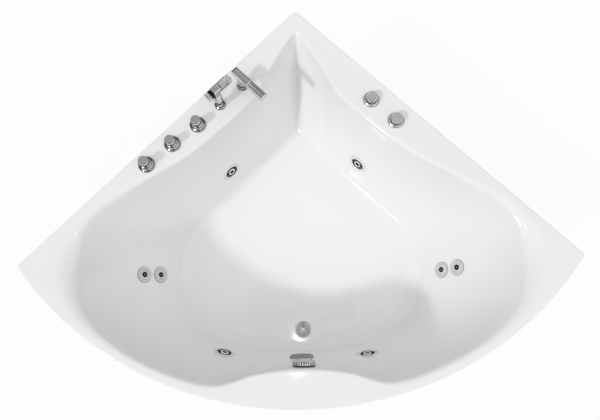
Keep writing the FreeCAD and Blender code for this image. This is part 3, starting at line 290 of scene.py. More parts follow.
def fan(bm, ring, tip, mat=0):
    """Cone of faces from a ring to one point."""
    for i in range(len(ring)):
        face = bm.faces.new((ring[i], ring[(i + 1) % len(ring)], tip))
        face.material_index = mat


def fill(bm, loops, mat=0):
    """Flat sheet inside the first loop; a second one is its hole."""
    flat = sum(loops, [])
    for tri in tessellate_polygon([[v.co for v in loop] for loop in loops]):
        face = bm.faces.new([flat[k] for k in tri])
        face.material_index = mat


def axis_turn(point, direction):
    """Placement whose local Z is the direction and whose origin is the point."""
    return Matrix.Translation(point) @ direction.to_track_quat("Z", "Y").to_matrix().to_4x4()


Flutes = namedtuple("Flutes", "count depth low high mat")
GROOVE_EDGE = 0.55        # cosine from which a flute has its own material


def lathe(bm, profile, place, steps=64, flutes=None):
    """Turned form. profile rows are radius, height and material, in millimetres.

    The material is 0 where a row leaves it out, and faces between two rows take the second's.
    Flutes are grooves between two heights.
    """
    rows = []
    for r, h, *mat in profile:
        mat = mat[0] if mat else 0
        if r <= 0:
            rows.append(([bm.verts.new(place @ Vector((0, 0, h / 1000)))], h, mat))
            continue
        ring = []
        for i in range(steps):
            a = 2 * math.pi * i / steps
            rr = r
            if flutes and flutes.low < h < flutes.high:
                wave = 0.5 + 0.5 * math.cos(a * flutes.count)
                rr = r - flutes.depth * wave ** 3
            local = Vector((rr * math.cos(a), rr * math.sin(a), h)) / 1000
            ring.append(bm.verts.new(place @ local))
        rows.append((ring, h, mat))
    for (a, h_a, _), (b, h_b, mat) in zip(rows, rows[1:]):
        if len(a) == 1 and len(b) == 1:
            continue
        if len(a) == 1 or len(b) == 1:
            tip, ring = (a[0], b) if len(a) == 1 else (b[0], a)
            fan(bm, ring, tip, mat)
            continue
        faces = bridge(bm, a, b, mat)
        if not flutes or flutes.mat is None:
            continue
        if flutes.low < min(h_a, h_b) and max(h_a, h_b) < flutes.high:
            for i, face in enumerate(faces):
                if math.cos(2 * math.pi * (i + 0.5) / steps * flutes.count) > GROOVE_EDGE:
                    face.material_index = flutes.mat


def turned_piece(name, items, materials, body, replaced, steps=64, angle=35):
    """One piece of turned forms; items are profile, place and the flutes, if any."""
    bm = bmesh.new()
    for profile, place, *flutes in items:
        lathe(bm, profile, place, steps, *flutes)
    return settle(finish_mesh(bm, name, materials, angle), body, replaced)


def upright(x, y):
    return Matrix.Translation(at(x, y))


# ---- finishes

def add_node(tree, kind, settings=None, **inputs):
    """Adds a node: settings first, then values or links by the name or the number of an input."""
    node = tree.nodes.new(kind)
    for key, value in (settings or {}).items():
        setattr(node, key, value)
    for key, value in inputs.items():
        socket = node.inputs[int(key[1:]) if key[1:].isdigit() else key.replace("_", " ")]
        value = getattr(value, "socket", value)
        if isinstance(value, bpy.types.NodeSocket):
            tree.links.new(value, socket)
        else:
            socket.default_value = value
    return node


class Value:
    """Wraps a socket so that sums on shader values read as sums."""

    def __init__(self, tree, socket):
        self.tree = tree
        self.socket = socket

    def _math(self, operation, other):
        node = add_node(self.tree, "ShaderNodeMath", {"operation": operation}, i0=self, i1=other)
        return Value(self.tree, node.outputs[0])

    def __add__(self, other):
        return self._math("ADD", other)

    __radd__ = __add__

    def __mul__(self, other):
        return self._math("MULTIPLY", other)

    __rmul__ = __mul__


class Finish:
    """A material with its nodes."""

    def __init__(self, name, **settings):
        self.material = bpy.data.materials.new(name)
        self.material.use_nodes = True
        self.tree = self.material.node_tree
        self.shader = self.tree.nodes["Principled BSDF"]
        for key, value in settings.items():
            self.shader.inputs[key.replace("_", " ")].default_value = value
        self.place = Value(self.tree, add_node(self.tree, "ShaderNodeTexCoord").outputs["Object"])

    def node(self, kind, out=0, **sockets):
        return Value(self.tree, add_node(self.tree, kind, **sockets).outputs[out])

    def noise(self, scale, detail=2.0, rough=0.5, place=None):
        return self.node("ShaderNodeTexNoise", Vector=place or self.place, Scale=scale, Detail=detail,
                         Roughness=rough)

    def stretched(self, scale):
        return self.node("ShaderNodeMapping", Vector=self.place, Scale=scale)

    def mix(self, factor, a, b):
        node = add_node(self.tree, "ShaderNodeMix", {"data_type": "RGBA"}, i0=factor, i6=a, i7=b)
        return Value(self.tree, node.outputs[2])

    def feed(self, name, value):
        self.tree.links.new(value.socket, self.shader.inputs[name])

    def bump(self, height, distance):
        self.feed("Normal", self.node("ShaderNodeBump", Height=height, Distance=distance, Strength=1.0))


def rgb(r, g=None, b=None):
    return (r, r if g is None else g, r if b is None else b, 1.0)


def acrylic():
    """Cast acrylic: deep gloss with a faint waviness."""
    f = Finish("white_acrylic", IOR=1.49)
    tone = f.noise(2.2, 3)
    f.feed("Base Color", f.mix(tone, rgb(0.872, 0.872, 0.880), rgb(0.888, 0.886, 0.892)))
    f.feed("Roughness", 0.06 + 0.05 * f.noise(9, 3))
    f.bump(f.noise(5, 1), 0.00025)
    return f.material


def grp_backing():
    """Sprayed glass fibre on the hidden side of the shell."""
    f = Finish("glass_fibre_backing", IOR=1.5)
    strands = f.noise(2, 4, place=f.stretched((60, 300, 60)))
    cross = f.noise(2, 4, place=f.stretched((300, 60, 200)))
    both = 0.5 * (strands + cross)
    f.feed("Base Color", f.mix(both, rgb(0.50, 0.47, 0.36), rgb(0.72, 0.69, 0.58)))
    f.feed("Roughness", 0.45 + 0.3 * both)
    f.bump(both, 0.002)
    return f.material


def chrome(name="chrome", tone=0.66, rough=0.07):
    f = Finish(name, Metallic=1.0)
    f.feed("Base Color", f.mix(f.noise(30, 2), rgb(tone, tone, tone * 1.01),
                               rgb(tone * 1.08, tone * 1.08, tone * 1.09)))
    f.feed("Roughness", rough + 0.05 * f.noise(120, 3))
    return f.material


def satin():
    f = Finish("satin_chrome", Metallic=1.0)
    grain = f.noise(400, 2, 0.6)
    f.feed("Base Color", f.mix(grain, rgb(0.42), rgb(0.50)))
    f.feed("Roughness", 0.34 + 0.12 * grain)
    f.bump(grain, 0.00005)
    return f.material


def grained(f, colour, vary, tone, grain, rough, swing, depth):
    """Colour with a slow change of tone, and a fine grain in the gloss and the surface."""
    darker = tuple(c * (1 - vary) for c in colour[:3]) + (1.0,)
    f.feed("Base Color", f.mix(f.noise(*tone), darker, colour))
    fine = f.noise(*grain)
    f.feed("Roughness", rough - swing + 2 * swing * fine)
    f.bump(fine, depth)
    return f.material


def moulded(name, colour, rough=0.4, vary=0.08, grain=300.0, depth=0.00006, shine=0.5):
    """Moulded plastic or rubber."""
    f = Finish(name, IOR=1.5, Specular_IOR_Level=shine)
    return grained(f, colour, vary, (14, 3), (grain, 2), rough, 0.06, depth)


def metal(name, colour, rough=0.35, grain=250.0, depth=0.00008):
    f = Finish(name, Metallic=1.0)
    return grained(f, colour, 0.2, (22, 4), (grain, 3), rough, 0.08, depth)


def zinc():
    """Zinc-plated sheet with its spangle."""
    f = Finish("zinc_plate", Metallic=1.0)
    flakes = f.node("ShaderNodeTexVoronoi", out=1, Vector=f.place, Scale=160.0)
    grey = f.node("ShaderNodeRGBToBW", Color=flakes)
    f.feed("Base Color", f.mix(grey, rgb(0.50, 0.51, 0.52), rgb(0.68, 0.69, 0.70)))
    f.feed("Roughness", 0.28 + 0.2 * grey)
    return f.material


def powder_coat():
    f = Finish("powder_coat", IOR=1.5)
    peel = f.noise(500, 2)
    f.feed("Base Color", f.mix(f.noise(8, 3), rgb(0.17, 0.175, 0.18), rgb(0.22, 0.225, 0.23)))
    f.feed("Roughness", 0.35 + 0.15 * peel)
    f.bump(peel, 0.0001)
    return f.material


def particle_board():
    f = Finish("particle_board", IOR=1.45)
    chips = f.node("ShaderNodeTexVoronoi", out=1, Vector=f.stretched((1, 0.6, 1)), Scale=260.0)
    grey = f.node("ShaderNodeRGBToBW", Color=chips)
    f.feed("Base Color", f.mix(grey, rgb(0.42, 0.29, 0.17), rgb(0.68, 0.53, 0.36)))
    f.feed("Roughness", 0.7 + 0.15 * grey)
    f.bump(grey, 0.0003)
    return f.material


white_acrylic = acrylic()
backing = grp_backing()
bright = chrome()
jet_chrome = chrome("jet_chrome", 0.86, 0.12)
grey_satin = satin()
black = moulded("black_plastic", rgb(0.006, 0.006, 0.007), 0.35, shine=0.12)
# Near-black painted shade, laid in the gaps, grooves, recesses and dark lines of the fittings
painted_gap_shade = moulded("painted_shade_black", rgb(0.008), 0.6, shine=0.1)
tap_chrome = chrome("tap_chrome", 0.56, 0.06)
# Near-white chrome painted as highlight: the light strips of the spout and the hand shower and the
# middle dome of the plug
painted_highlight_chrome = chrome("painted_highlight_chrome", 0.88, 0.12)
jet_white = moulded("jet_white_plastic", rgb(0.80, 0.80, 0.81), 0.16, 0.03)
jet_pale = moulded("jet_pale_plastic", rgb(0.69, 0.69, 0.70), 0.18, 0.04)
floor_dot = moulded("anti_slip_acrylic", rgb(0.80, 0.80, 0.81), 0.3, 0.03)
pale_satin = metal("pale_satin_chrome", rgb(0.74, 0.74, 0.745), 0.26, 500.0, 0.00002)
# Darker chrome painted as shade: the cap rims, the flange cones, the moats of the controls, the rings
# of the plug and the shaded sides of the spout and the hand shower
painted_shade_chrome = metal("painted_dark_chrome", rgb(0.46, 0.46, 0.465), 0.14, 500.0, 0.00002)
clear_chrome = metal("neck_chrome", rgb(0.86, 0.86, 0.865), 0.16, 400.0, 0.00002)
jet_grey = moulded("jet_grey_plastic", rgb(0.40, 0.40, 0.41), 0.25, 0.06)
suction_grey = moulded("suction_grey_plastic", rgb(0.30, 0.30, 0.305), 0.4, shine=0.3)
pipe_white = moulded("pipe_plastic", rgb(0.70, 0.70, 0.68), 0.45)
hose_clear = moulded("air_hose", rgb(0.62, 0.65, 0.67), 0.3)
foot_black = moulded("foot_plastic", rgb(0.03), 0.55, 0.2, 200.0, 0.0002)
motor_blue = moulded("motor_paint", rgb(0.045, 0.06, 0.085), 0.42, 0.2, 260.0, 0.00015)
brass = metal("cast_brass", rgb(0.70, 0.52, 0.26), 0.4)
copper = metal("copper_tube", rgb(0.75, 0.42, 0.28), 0.3)
spring_wire = metal("spring_wire", rgb(0.55), 0.3)
shaft_steel = metal("shaft_steel", rgb(0.52), 0.33)
zinc_plate = zinc()
steel_coat = powder_coat()
board = particle_board()

# ---- the shell

MERIDIANS_PER_SPAN = 14
FINE = (9, 12, 9)         # steps round the edge, down the wall and round the foot
COARSE = (3, 4, 4)
SUMP_EDGE = 7.0           # width of the round edge of the fall
FALL_REACH = 12           # height above the floor up to which the fall takes the wall with it


def floor_z(x, y, z):
    """Height of the floor with the shallow fall to the drain inside its round edge."""
    away = math.hypot(x, y - (SUMP_R - SUMP_FRONT))
    u = max(0.0, min(1.0, (SUMP_R - away) / SUMP_EDGE))
    fall = max(0.0, (-y - SUMP_START) / (SUMP_FRONT - SUMP_START) * SUMP_DROP)
    return z - fall * u * u * (3 - 2 * u)


def basin_side(bm, grow, top, bottom, steps, mat, apron):
    """Rings of the basin from the deck to the floor, from the outside in."""
    count = len(full_loop(RIM)) * MERIDIANS_PER_SPAN
    lines = [wall_line(i / MERIDIANS_PER_SPAN, grow, top, bottom, *steps, apron)
             for i in range(count)]
    rings = []
    for level in range(len(lines[0])):
        points = []
        for line in lines:
            x, y, z = line[level]
            falls = not grow and z < FALL_REACH - BASIN
            points.append(at(x, y, floor_z(x, y, z) if falls else z))
        rings.append(ring_of(bm, points))
    for a, b in zip(rings, rings[1:]):
        bridge(bm, a, b, mat)
    return rings, [line[-1] for line in lines]


def basin_floor(bm, edge, points, centre, shares, mat, level=None):
    """Rings from the foot of the wall in to the middle of the floor."""
    before = edge
    for share in shares:
        ring = []
        for x, y, z in points:
            px, py = between(centre, (x, y), share)
            ring.append(at(px, py, floor_z(px, py, z) if level is None else level))
        ring = ring_of(bm, ring)
        bridge(bm, before, ring, mat)
        before = ring
    tip = bm.verts.new(at(centre[0], centre[1], points[0][2] if level is None else level))
    fan(bm, before, tip, mat)


def stepped_cutter(bm, point, direction, bore, depth, seat=None):
    """Bore of a fitting, with the flat seat of its flange where it has one."""
    proud = 14
    rows = [(0, -depth), (bore, -depth), (bore, proud), (0, proud)]
    if seat:
        rows[2:3] = [(bore, 0), (seat, 0), (seat, proud)]
    lathe(bm, rows, axis_turn(point, direction), 72)


MIDDLE = (0, -850)        # where the rings of the floor close
SHELL_DEEP = 60           # how far a cutter reaches behind the wall
DECK_DEEP = 25


def shell_rings(outlines, bm, mat):
    rings = [ring_of(bm, deck_outline(inset, z)) for inset, z in outlines]
    for a, b in zip(rings, rings[1:]):
        bridge(bm, a, b, mat)
    return rings


def build_shell():
    """Solid shell without its holes, white to the user and backed underneath."""
    bm = bmesh.new()
    rings, foot = basin_side(bm, 0, 0, -BASIN, FINE, 0, 3.0)
    shares = [1 - 0.009 * i for i in range(1, 45)] + [0.55, 0.47, 0.38, 0.28, 0.18, 0.08]
    basin_floor(bm, rings[-1], foot, MIDDLE, shares, 0)
    fillet_steps = 6
    turns = [math.radians(90 * i / fillet_steps) for i in range(fillet_steps + 1)]
    edge = [(DECK_EDGE + 3, 0)]
    edge += [(DECK_EDGE * (1 - math.sin(a)), -DECK_EDGE * (1 - math.cos(a))) for a in turns]
    edge += [(0, -LIP + 1.5), (0.5, -LIP + 0.3), (1.5, -LIP), (SHEET - 1, -LIP)]
    outer = shell_rings(edge, bm, 0)
    inner = shell_rings([(SHEET, -LIP + 1), (SHEET, -SHEET)], bm, 1)
    bridge(bm, outer[-1], inner[0], 1)
    fill(bm, [outer[0], rings[0]])
    back_rings, back_foot = basin_side(bm, BACKING, -SHEET, BASE_Z, COARSE, 1, 0)
    basin_floor(bm, back_rings[-1], back_foot, MIDDLE, [0.66, 0.33], 1, BASE_Z)
    fill(bm, [inner[-1], back_rings[0]], 1)
    bmesh.ops.remove_doubles(bm, verts=bm.verts, dist=1e-7)
    return closed_mesh(bm, "shell_body")


def shell_cutters():
    """Bore and seat of each fitting; the numbers are radii in millimetres."""
    cut = bmesh.new()
    sites = [(spot, 34, 43.4) for spot in JETS] + [(spot, 25, 32.9) for spot in SMALL_JETS]
    sites += [(SUCTION, 35, 45.4), (OVERFLOW, 27, 34.4)]
    for spot, bore, seat in sites:
        stepped_cutter(cut, *wall_spot(*spot), bore, SHELL_DEEP, seat)
    up = Vector((0, 0, 1))
    stepped_cutter(cut, at(*DRAIN, DRAIN_SEAT), up, 24, 40, 35.4)
    for spot in (HOT, COLD, DIVERTER, HOLDER, SPOUT, REGULATOR, BUTTON):
        stepped_cutter(cut, at(*spot), up, SHANK_R + 0.5, DECK_DEEP)
    return closed_mesh(cut, "shell_holes")


def cut_holes(body, tool_mesh):
    obj = new_object("tub_skin", body)
    tool = new_object("hole_tool", tool_mesh)
    obj.data.materials.append(white_acrylic)
    obj.data.materials.append(backing)
    modifier = obj.modifiers.new("holes", "BOOLEAN")
    modifier.operation = "DIFFERENCE"
    modifier.object = tool
    for solver in ("MANIFOLD", "EXACT"):
        modifier.solver = solver
        ready = applied(obj)
        if len(ready.polygons) > len(body.polygons):
            break
    obj.modifiers.clear()
    obj.data = ready
    bpy.data.objects.remove(tool)
    shade(ready, 32)
    return obj


settle(cut_holes(build_shell(), shell_cutters()), "tub", ["tub_shell"])

# ---- carried-over nodes

finishes = {
    white_acrylic: ["front_panel"],
    brass: ["valve_bodies"],
    copper: ["mixer_pipes"],
    pipe_white: ["jet_bodies", "small_jet_bodies", "suction_body", "overflow_body", "overflow_pipe",
                 "drain_tee", "trap", "water_pipes"],
    hose_clear: ["air_pipes"],
    suction_grey: ["suction_cover"],
    black: ["plug_cable", "pump_housing"],
    bright: ["drain_flange"],
    board: ["base_board"],
    steel_coat: ["frame_rails", "frame_uprights"],
    zinc_plate: ["panel_clips", "wall_brackets"],
    motor_blue: ["pump_motor"],
    shaft_steel: ["pump_rotor"],
    foot_black: ["leveling_foot_%d" % (i + 1) for i in range(6)],
}
for finish, names in finishes.items():
    for name in names:
        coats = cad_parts[name].data.materials
        coats.clear()
        coats.append(finish)

# ---- jets

def jet_flange_rows(r_out, bore, sleeve):
    """Flange and sleeve of a jet: thin raised rim, shallow dish, step at the bore; the rim's outer edge
    takes the second, darker colour as painted shade.
    """
    return [
        (bore, -34), (bore, 1.8), (bore + 0.5, 2.6), (bore + 1.6, 3.2),
        (bore + 2.2, 4.4), (bore + 3.4, 5.0), (r_out - 5.5, 4.9), (r_out - 3.6, 4.5),
        (r_out - 3.2, 3.7), (r_out - 2.4, 3.7), (r_out - 1.2, 3.0, 1), (r_out - 0.3, 1.6, 1),
        (r_out, 0.2, 1), (r_out - 0.2, 0, 1), (sleeve, 0), (sleeve, -34), (bore, -34),
    ]


def large_insert_rows():
    """White seat, black ring, bright swivel ring and the mouth of the nozzle in black, painted shade.
    """
    r = 29.45
    return [
        (0, -32, 3), (r, -32, 3), (r, -0.8, 3), (r - 0.4, 0.6, 3), (r - 1.2, 1.7, 3), (27.6, 1.9, 3),
        (27.1, 1.0), (26.5, 2.2), (24.5, 2.8), (21, 2.6), (18, 1.6), (16.6, 0.6),
        (16.1, 2.4, 1), (14.8, 3.8, 1), (12.8, 4.2, 1), (11.0, 3.8, 1), (9.8, 2.6, 1), (9.2, 0.8, 2),
        (8.6, -3, 2), (0, -5, 2),
    ]


def small_insert_rows():
    """Pale face with the black swivel eye and its light tip."""
    r = 20.95
    return [
        (0, -32, 1), (r, -32, 1), (r, -0.6, 1), (r - 0.4, 0.7, 1), (r - 1.2, 1.4, 1), (14, 2.0, 1),
        (13.0, 2.4, 1), (11.8, 3.4, 1), (11.0, 3.2, 1), (10.4, 2.0), (10.0, 4.2), (9.0, 5.3),
        (6.2, 5.6), (4.0, 5.0), (3.0, 3.4), (2.4, 4.2, 2), (1.3, 5.0, 2), (0, 5.2, 2),
    ]


def grip_rows():
    """Round finger grip on the ring of a large jet."""
    return [
        (0, 1.0), (6.2, 1.0), (6.2, 4.4), (5.6, 5.4), (4.0, 5.6), (2.6, 5.0),
        (1.6, 4.2, 1), (0, 4.0, 1),
    ]


def beside(point, normal, reach):
    """Spot level with the point along the wall, on the side away from the back corner."""
    along = normal.cross(Vector((0, 0, 1))).normalized()
    outward = Vector((math.copysign(0.5, point.x), -1, 0))
    if along.dot(outward) < 0:
        along.negate()
    return point + along * (reach / 1000)


def dress_jets(kind, spots, rows, flange, ring_coats, insert_coats, rings, node, body, grip=0.0):
    """One size of jet: all its flanges as one piece, and each insert with its grip, if any."""
    sites = [wall_spot(*spot) for spot in spots]
    turned_piece(kind + "_jet_flanges", [(flange, axis_turn(*site)) for site in sites],
                 ring_coats, "tub", [rings], 72)
    for i, (point, normal) in enumerate(sites):
        forms = [(rows, axis_turn(point, normal))]
        if grip:
            forms.append((grip_rows(), axis_turn(beside(point, normal, grip), normal)))
        turned_piece("%s_jet_insert_%d" % (kind, i + 1), forms, insert_coats, body % (i + 1),
                     [node % (i + 1)], 64)


# ---- taps

# Threaded shank under the deck with its nut
NUTTED_SHANK = [(14, 0), (14, -6), (20, -6), (20, -16), (14, -16)]


def flange_rows():
    """Stepped foot of a deck tap, with a black groove and a darker cone painted as shade."""
    return [
        (14.3, 0), (31.6, 0), (32, 0.5), (32, 2.0), (31.4, 3.2), (30.0, 3.9),
        (28.6, 4.1), (28.0, 3.9, 1), (27.0, 3.2, 1), (26.8, 4.4), (26.5, 5.2),
        (21.5, 7.9, 2), (21.0, 8.4), (20.9, 10.6), (20.6, 11.5),
        (20.2, 12), (9, 12), (9, 4), (14.3, 4), (14.3, 0),
    ]


def barrel_rows():
    # The black lip at the top of the barrel, under the cap, is painted shade
    return [
        (0, -28), (6, -28), (6, 12.4), (17.6, 12.4), (18.7, 12.9), (19, 13.9),
        (19, 18.8), (18.7, 19.8), (18.0, 20.2), (17.6, 21.2), (17.7, 22.4),
        (18, 23.2), (18, 44.6), (17.9, 46.2), (17.5, 47.4), (17.0, 48, 1), (16.99, 45, 1),
        (0, 45),
    ]


def cap_rows():
    # The cap's rounded rim takes the darker chrome, painted shade
    return [
        (0, 45), (16.95, 45), (16.95, 48.6, 1), (16.5, 49.8, 1), (15.5, 50.7, 1),
        (14.8, 51.0), (13.9, 50.9), (10, 50.4), (5, 50.2), (0, 50.1),
    ]


# Black disc at the foot of a handle, on the side towards the basin, shaped like a grub screw head: a
# painted dark reflection
SHADE_SPOT_Z = 16.6
SHADE_SPOT_REACH = 0.0184
SHADE_SPOT_SIDE = Vector((0.22, -0.975, 0))


def shade_spot_place(spot):
    return axis_turn(at(*spot, SHADE_SPOT_Z) + SHADE_SPOT_SIDE * SHADE_SPOT_REACH, SHADE_SPOT_SIDE)


def dress_handles():
    trio = (("hot", HOT), ("cold", COLD), ("diverter", DIVERTER))
    turned_piece("tap_flanges", [(flange_rows(), upright(*spot)) for _, spot in trio],
                 [tap_chrome, painted_gap_shade, painted_shade_chrome], "tub", ["valve_flanges"], 80, 25)
    for name, spot in trio:
        # Black disc of painted dark reflection
        shade_spot = [(0, -1, 1), (3.5, -1, 1), (3.5, 0.8, 1), (3.0, 1.0, 1), (0, 1.0, 1)]
        forms = [(barrel_rows(), upright(*spot)), (shade_spot, shade_spot_place(spot))]
        turned_piece(name + "_barrel", forms, [bright, painted_gap_shade],
                     name + "_handle", ["handle_" + name], 72, 30)
        turned_piece(name + "_cap", [(cap_rows(), upright(*spot))], [grey_satin, painted_shade_chrome],
                     name + "_handle", ["cap_" + name], 64, 30)


# ---- bars and panels

def bar(bm, place, low, high, soft=1.0, mat=0, steps=2):
    """Block with rounded edges, given by its corners in millimetres of the placement."""
    part = bmesh.new()
    made = bmesh.ops.create_cube(part, size=1.0)
    for v in made["verts"]:
        v.co = Vector([lo if c < 0 else hi for c, lo, hi in zip(v.co, low, high)])
    if soft:
        bmesh.ops.bevel(part, geom=list(part.edges) + list(part.verts), offset=soft, segments=steps,
                        profile=0.6, affect="EDGES", clamp_overlap=True)
    for v in part.verts:
        v.co = place @ (v.co / 1000)
    for face in part.faces:
        face.material_index = mat
    mesh = closed_mesh(part, "bar")
    bm.from_mesh(mesh)
    bpy.data.meshes.remove(mesh)


def bars(bm, place, rows):
    """Rows are two corners, edge rounding, material and, where it matters, rounding steps."""
    for row in rows:
        bar(bm, place, *row)


def frame_at(x, y, z, along, across):
    """Placement with its own X and Y directions in plan, in millimetres of the tub."""
    up = Vector((0, 0, 1))
    turn = Matrix((Vector(along).normalized(), Vector(across).normalized(), up)).transposed()
    return Matrix.Translation(at(x, y, z)) @ turn.to_4x4()


def finish_bars(bm, name, materials, body, replaced, angle=30):
    return settle(finish_mesh(bm, name, materials, angle, False), body, replaced)


def rounded_column(bm, place, levels, mat=0, steps=40):
    """Upright of rounded-square section; levels are height, half widths and roundness."""
    before = None
    for z, a, b, power in levels:
        ring = []
        for i in range(steps):
            t = 2 * math.pi * i / steps
            c, s = math.cos(t), math.sin(t)
            x = a * math.copysign(abs(c) ** (2 / power), c)
            y = b * math.copysign(abs(s) ** (2 / power), s)
            ring.append(bm.verts.new(place @ (Vector((x, y, z)) / 1000)))
        if before:
            bridge(bm, before, ring, mat)
        else:
            fill(bm, [ring[::-1]], mat)
        before = ring
    fill(bm, [before], mat)


def dress_hand_shower():
    away = (HOLDER[0] + (20 - 8) / ROOT2, HOLDER[1] + (20 + 8) / ROOT2)
    place = frame_at(*away, 0, (1, 1, 0), (-1, 1, 0))
    bm = bmesh.new()
    # The near-white strips are painted highlight and the dark strips painted shade, so one side of the
    # head reads lit and the other shaded; the black gaps are painted shade
    CASE, FACE, PAINTED_GAP_SHADE, PALE, PAINTED_HIGHLIGHT, NECK, PAINTED_SHADE = range(7)
    lo, hi, w = 82, 107.6, 13.3
    bars(bm, place, [
        ((-56, -w, lo), (-41, w, hi), 2.2, CASE, 3),
        ((-53, -w + 3.2, hi - 1), (-44, w - 3.2, hi + 0.3), 0.5, PALE),
        ((-48, -8, lo + 6), (-20, 8, lo + 18), 1.0, PAINTED_GAP_SHADE),
        ((-27.5, -w, lo), (3.5, w, hi - 2.4), 1.6, CASE, 3),
        ((-27.5, -w, lo + 6), (3.5, -w + 3.2, hi), 1.2, PAINTED_HIGHLIGHT),
        ((-27.5, w - 1.8, lo + 6), (3.5, w, hi), 0.8, PAINTED_SHADE),
        ((-24.5, -w + 4.6, hi - 4), (-0.6, w - 3.6, hi - 0.4), 0.4, FACE),
        ((0.2, -w + 3.4, hi - 4), (3.2, w - 3.2, hi + 0.1), 0.4, PAINTED_HIGHLIGHT),
        ((3.2, -w + 1.2, lo + 1.2), (6.6, w - 1.2, hi - 1.6), 0.3, PAINTED_GAP_SHADE),
        ((6.4, -w, lo), (45, w, hi - 3.2), 1.6, CASE, 3),
        ((6.4, -w, lo + 6), (45, -w + 3.4, hi), 1.2, CASE),
        ((6.4, w - 2.2, lo + 6), (45, w, hi), 0.9, PAINTED_SHADE),
        ((7.2, -w + 4.4, hi - 4), (41.8, w - 3.4, hi - 1.0), 0.7, PALE),
        ((42.6, -w + 1.0, lo + 4), (46.6, w - 1.0, hi + 0.2), 0.7, PAINTED_HIGHLIGHT),
        ((46.6, -w, lo), (56, w, hi), 2.2, CASE, 3),
        ((48.8, -w + 3.4, hi - 1), (53.6, w - 3.4, hi + 0.25), 0.4, PALE),
        ((12, -w + 3, lo + 0.1), (40, w - 3, lo + 1), 0.4, PAINTED_GAP_SHADE),
    ])
    neck = frame_at(*HOLDER, 0, (1, 1, 0), (-1, 1, 0))
    rounded_column(bm, neck, [(27, 10.4, 10.6, 2.3), (30, 10.8, 11.2, 2.8), (40, 11.0, 11.2, 3.6),
                              (60, 11.5, 11.5, 4.5), (76, 12, 12, 5), (83, 12, 12, 5)], NECK)
    # Dark strips down both sides of the neck: painted shade
    for side in (-1, 1):
        edge = sorted((side * 10.6, side * 13.2))
        bar(bm, neck, (edge[0], -12, 34), (edge[1], 11, 83), 0.9, PAINTED_SHADE)
    lathe(bm, [(5, -30), (9.4, -30), (10, -29.2), (10, -6), (9.6, -5.4), (9.6, -4.2),
               (10, -3.6), (10, 28), (5, 28), (5, -30)], upright(*HOLDER), 48)
    finish_bars(bm, "hand_shower_metal",
                [tap_chrome, grey_satin, painted_gap_shade, pale_satin, painted_highlight_chrome, clear_chrome, painted_shade_chrome],
                "hand_shower", ["shower_head", "shower_handle"])
    bm = bmesh.new()
    bar(bm, place, (-41, -w + 1.1, lo + 1.1), (-27.5, w - 1.1, hi - 0.8), 1.2)
    for a in (-39.4, -36.6, -33.8, -31.0):
        bar(bm, place, (a, -w + 0.7, lo + 0.7), (a + 1.5, w - 0.7, hi - 0.4), 0.4)
    finish_bars(bm, "hand_shower_grip", [black], "hand_shower", ["shower_band"])
    # The black rings are painted shade
    holder = [
        (10.05, 26), (12, 26), (12.8, 25.4, 1), (13.4, 23.4, 1), (13.8, 15), (14.4, 10.8),
        (15.2, 9.6, 1), (16.8, 8.8, 1), (17.4, 9.4), (18.6, 8.6), (19.6, 6.0), (19.8, 4.4, 1),
        (20.6, 3.6, 1), (21.5, 3.4), (22, 2.5), (22, 0.4), (21.6, 0),
        *NUTTED_SHANK, (14, -60), (10.05, -60), (10.05, 26),
    ]
    turned_piece("hand_shower_holder", [(holder, upright(*HOLDER))], [tap_chrome, painted_gap_shade], "tub",
                 ["shower_holder"], 72, 30)


def dress_spout():
    place = frame_at(*SPOUT, 0, (1, -1, 0), (1, 1, 0))
    bm = bmesh.new()
    # The near-white strips are painted highlight, the dark strip on the other side is painted shade,
    # and the black grooves are painted shade
    CASE, FACE, PAINTED_GAP_SHADE, PAINTED_HIGHLIGHT, PAINTED_SHADE = range(5)
    lo, hi, w = 62, 82, 14
    bars(bm, place, [
        ((-31, -w, lo), (124, w, 73), 1.4, CASE, 3),
        ((-31, -w, lo + 6), (124, -w + 2.8, hi), 0.8, PAINTED_HIGHLIGHT),
        ((-29, -w + 2.8, 72), (120, -w + 5.4, 81), 0.2, PAINTED_GAP_SHADE),
        ((-29, -w + 5.4, 72), (119, -w + 7.4, 81.6), 0.6, PAINTED_HIGHLIGHT),
        ((-29, -w + 7.4, 72), (119, -w + 9.4, 80.6), 0.2, PAINTED_GAP_SHADE),
        ((-31, w - 3.0, lo + 6), (46.0, w, hi), 0.8, PAINTED_SHADE),
        ((51, w - 3.0, lo + 6), (124, w, hi), 0.8, CASE),
        ((45, w - 3.6, lo + 8), (51.5, w - 0.6, hi - 3.4), 0.3, PAINTED_GAP_SHADE),
        ((-31, -w, lo + 6), (-27.4, w, hi), 0.9, PAINTED_GAP_SHADE),
        ((-27.6, -w + 9.4, 72), (44.6, w - 3.4, 80.8), 0.9, FACE),
        ((45.2, -w + 3.2, 72), (49.4, w - 3.2, 81.4), 0.5, PAINTED_HIGHLIGHT),
        ((49, -w + 9.8, 72), (119, 3.4, 77.6), 0.7, CASE),
        ((49, 3.4, 72), (119, 5.4, 78), 0.2, PAINTED_GAP_SHADE),
        ((49, 5.2, 72), (119, w - 3.6, 77.6), 0.7, FACE),
        ((119.4, -w + 2.8, 72), (123.6, w - 3.0, 78.4), 0.8, PAINTED_HIGHLIGHT),
    ])
    finish_bars(bm, "spout_bar", [tap_chrome, grey_satin, painted_gap_shade, painted_highlight_chrome, painted_shade_chrome],
                "tub", ["spout_body"])
    # The black rings are painted shade
    rows = [
        (0, 61.9), (14.4, 61.9), (15, 61.2), (15, 14), (15, 12.2, 1), (16.2, 10.4, 1),
        (17.2, 10.6), (18.6, 9.6), (19.6, 7.2), (20.0, 5.4, 1), (20.8, 3.8, 1),
        (22.2, 3.6), (23, 2.4), (23, 0.5), (22.6, 0), *NUTTED_SHANK, (14, -62),
        (0, -62),
    ]
    turned_piece("spout_column", [(rows, upright(*SPOUT))], [tap_chrome, painted_gap_shade], "tub",
                 ["spout_base"], 72, 30)


# ---- controls, waste and overflow

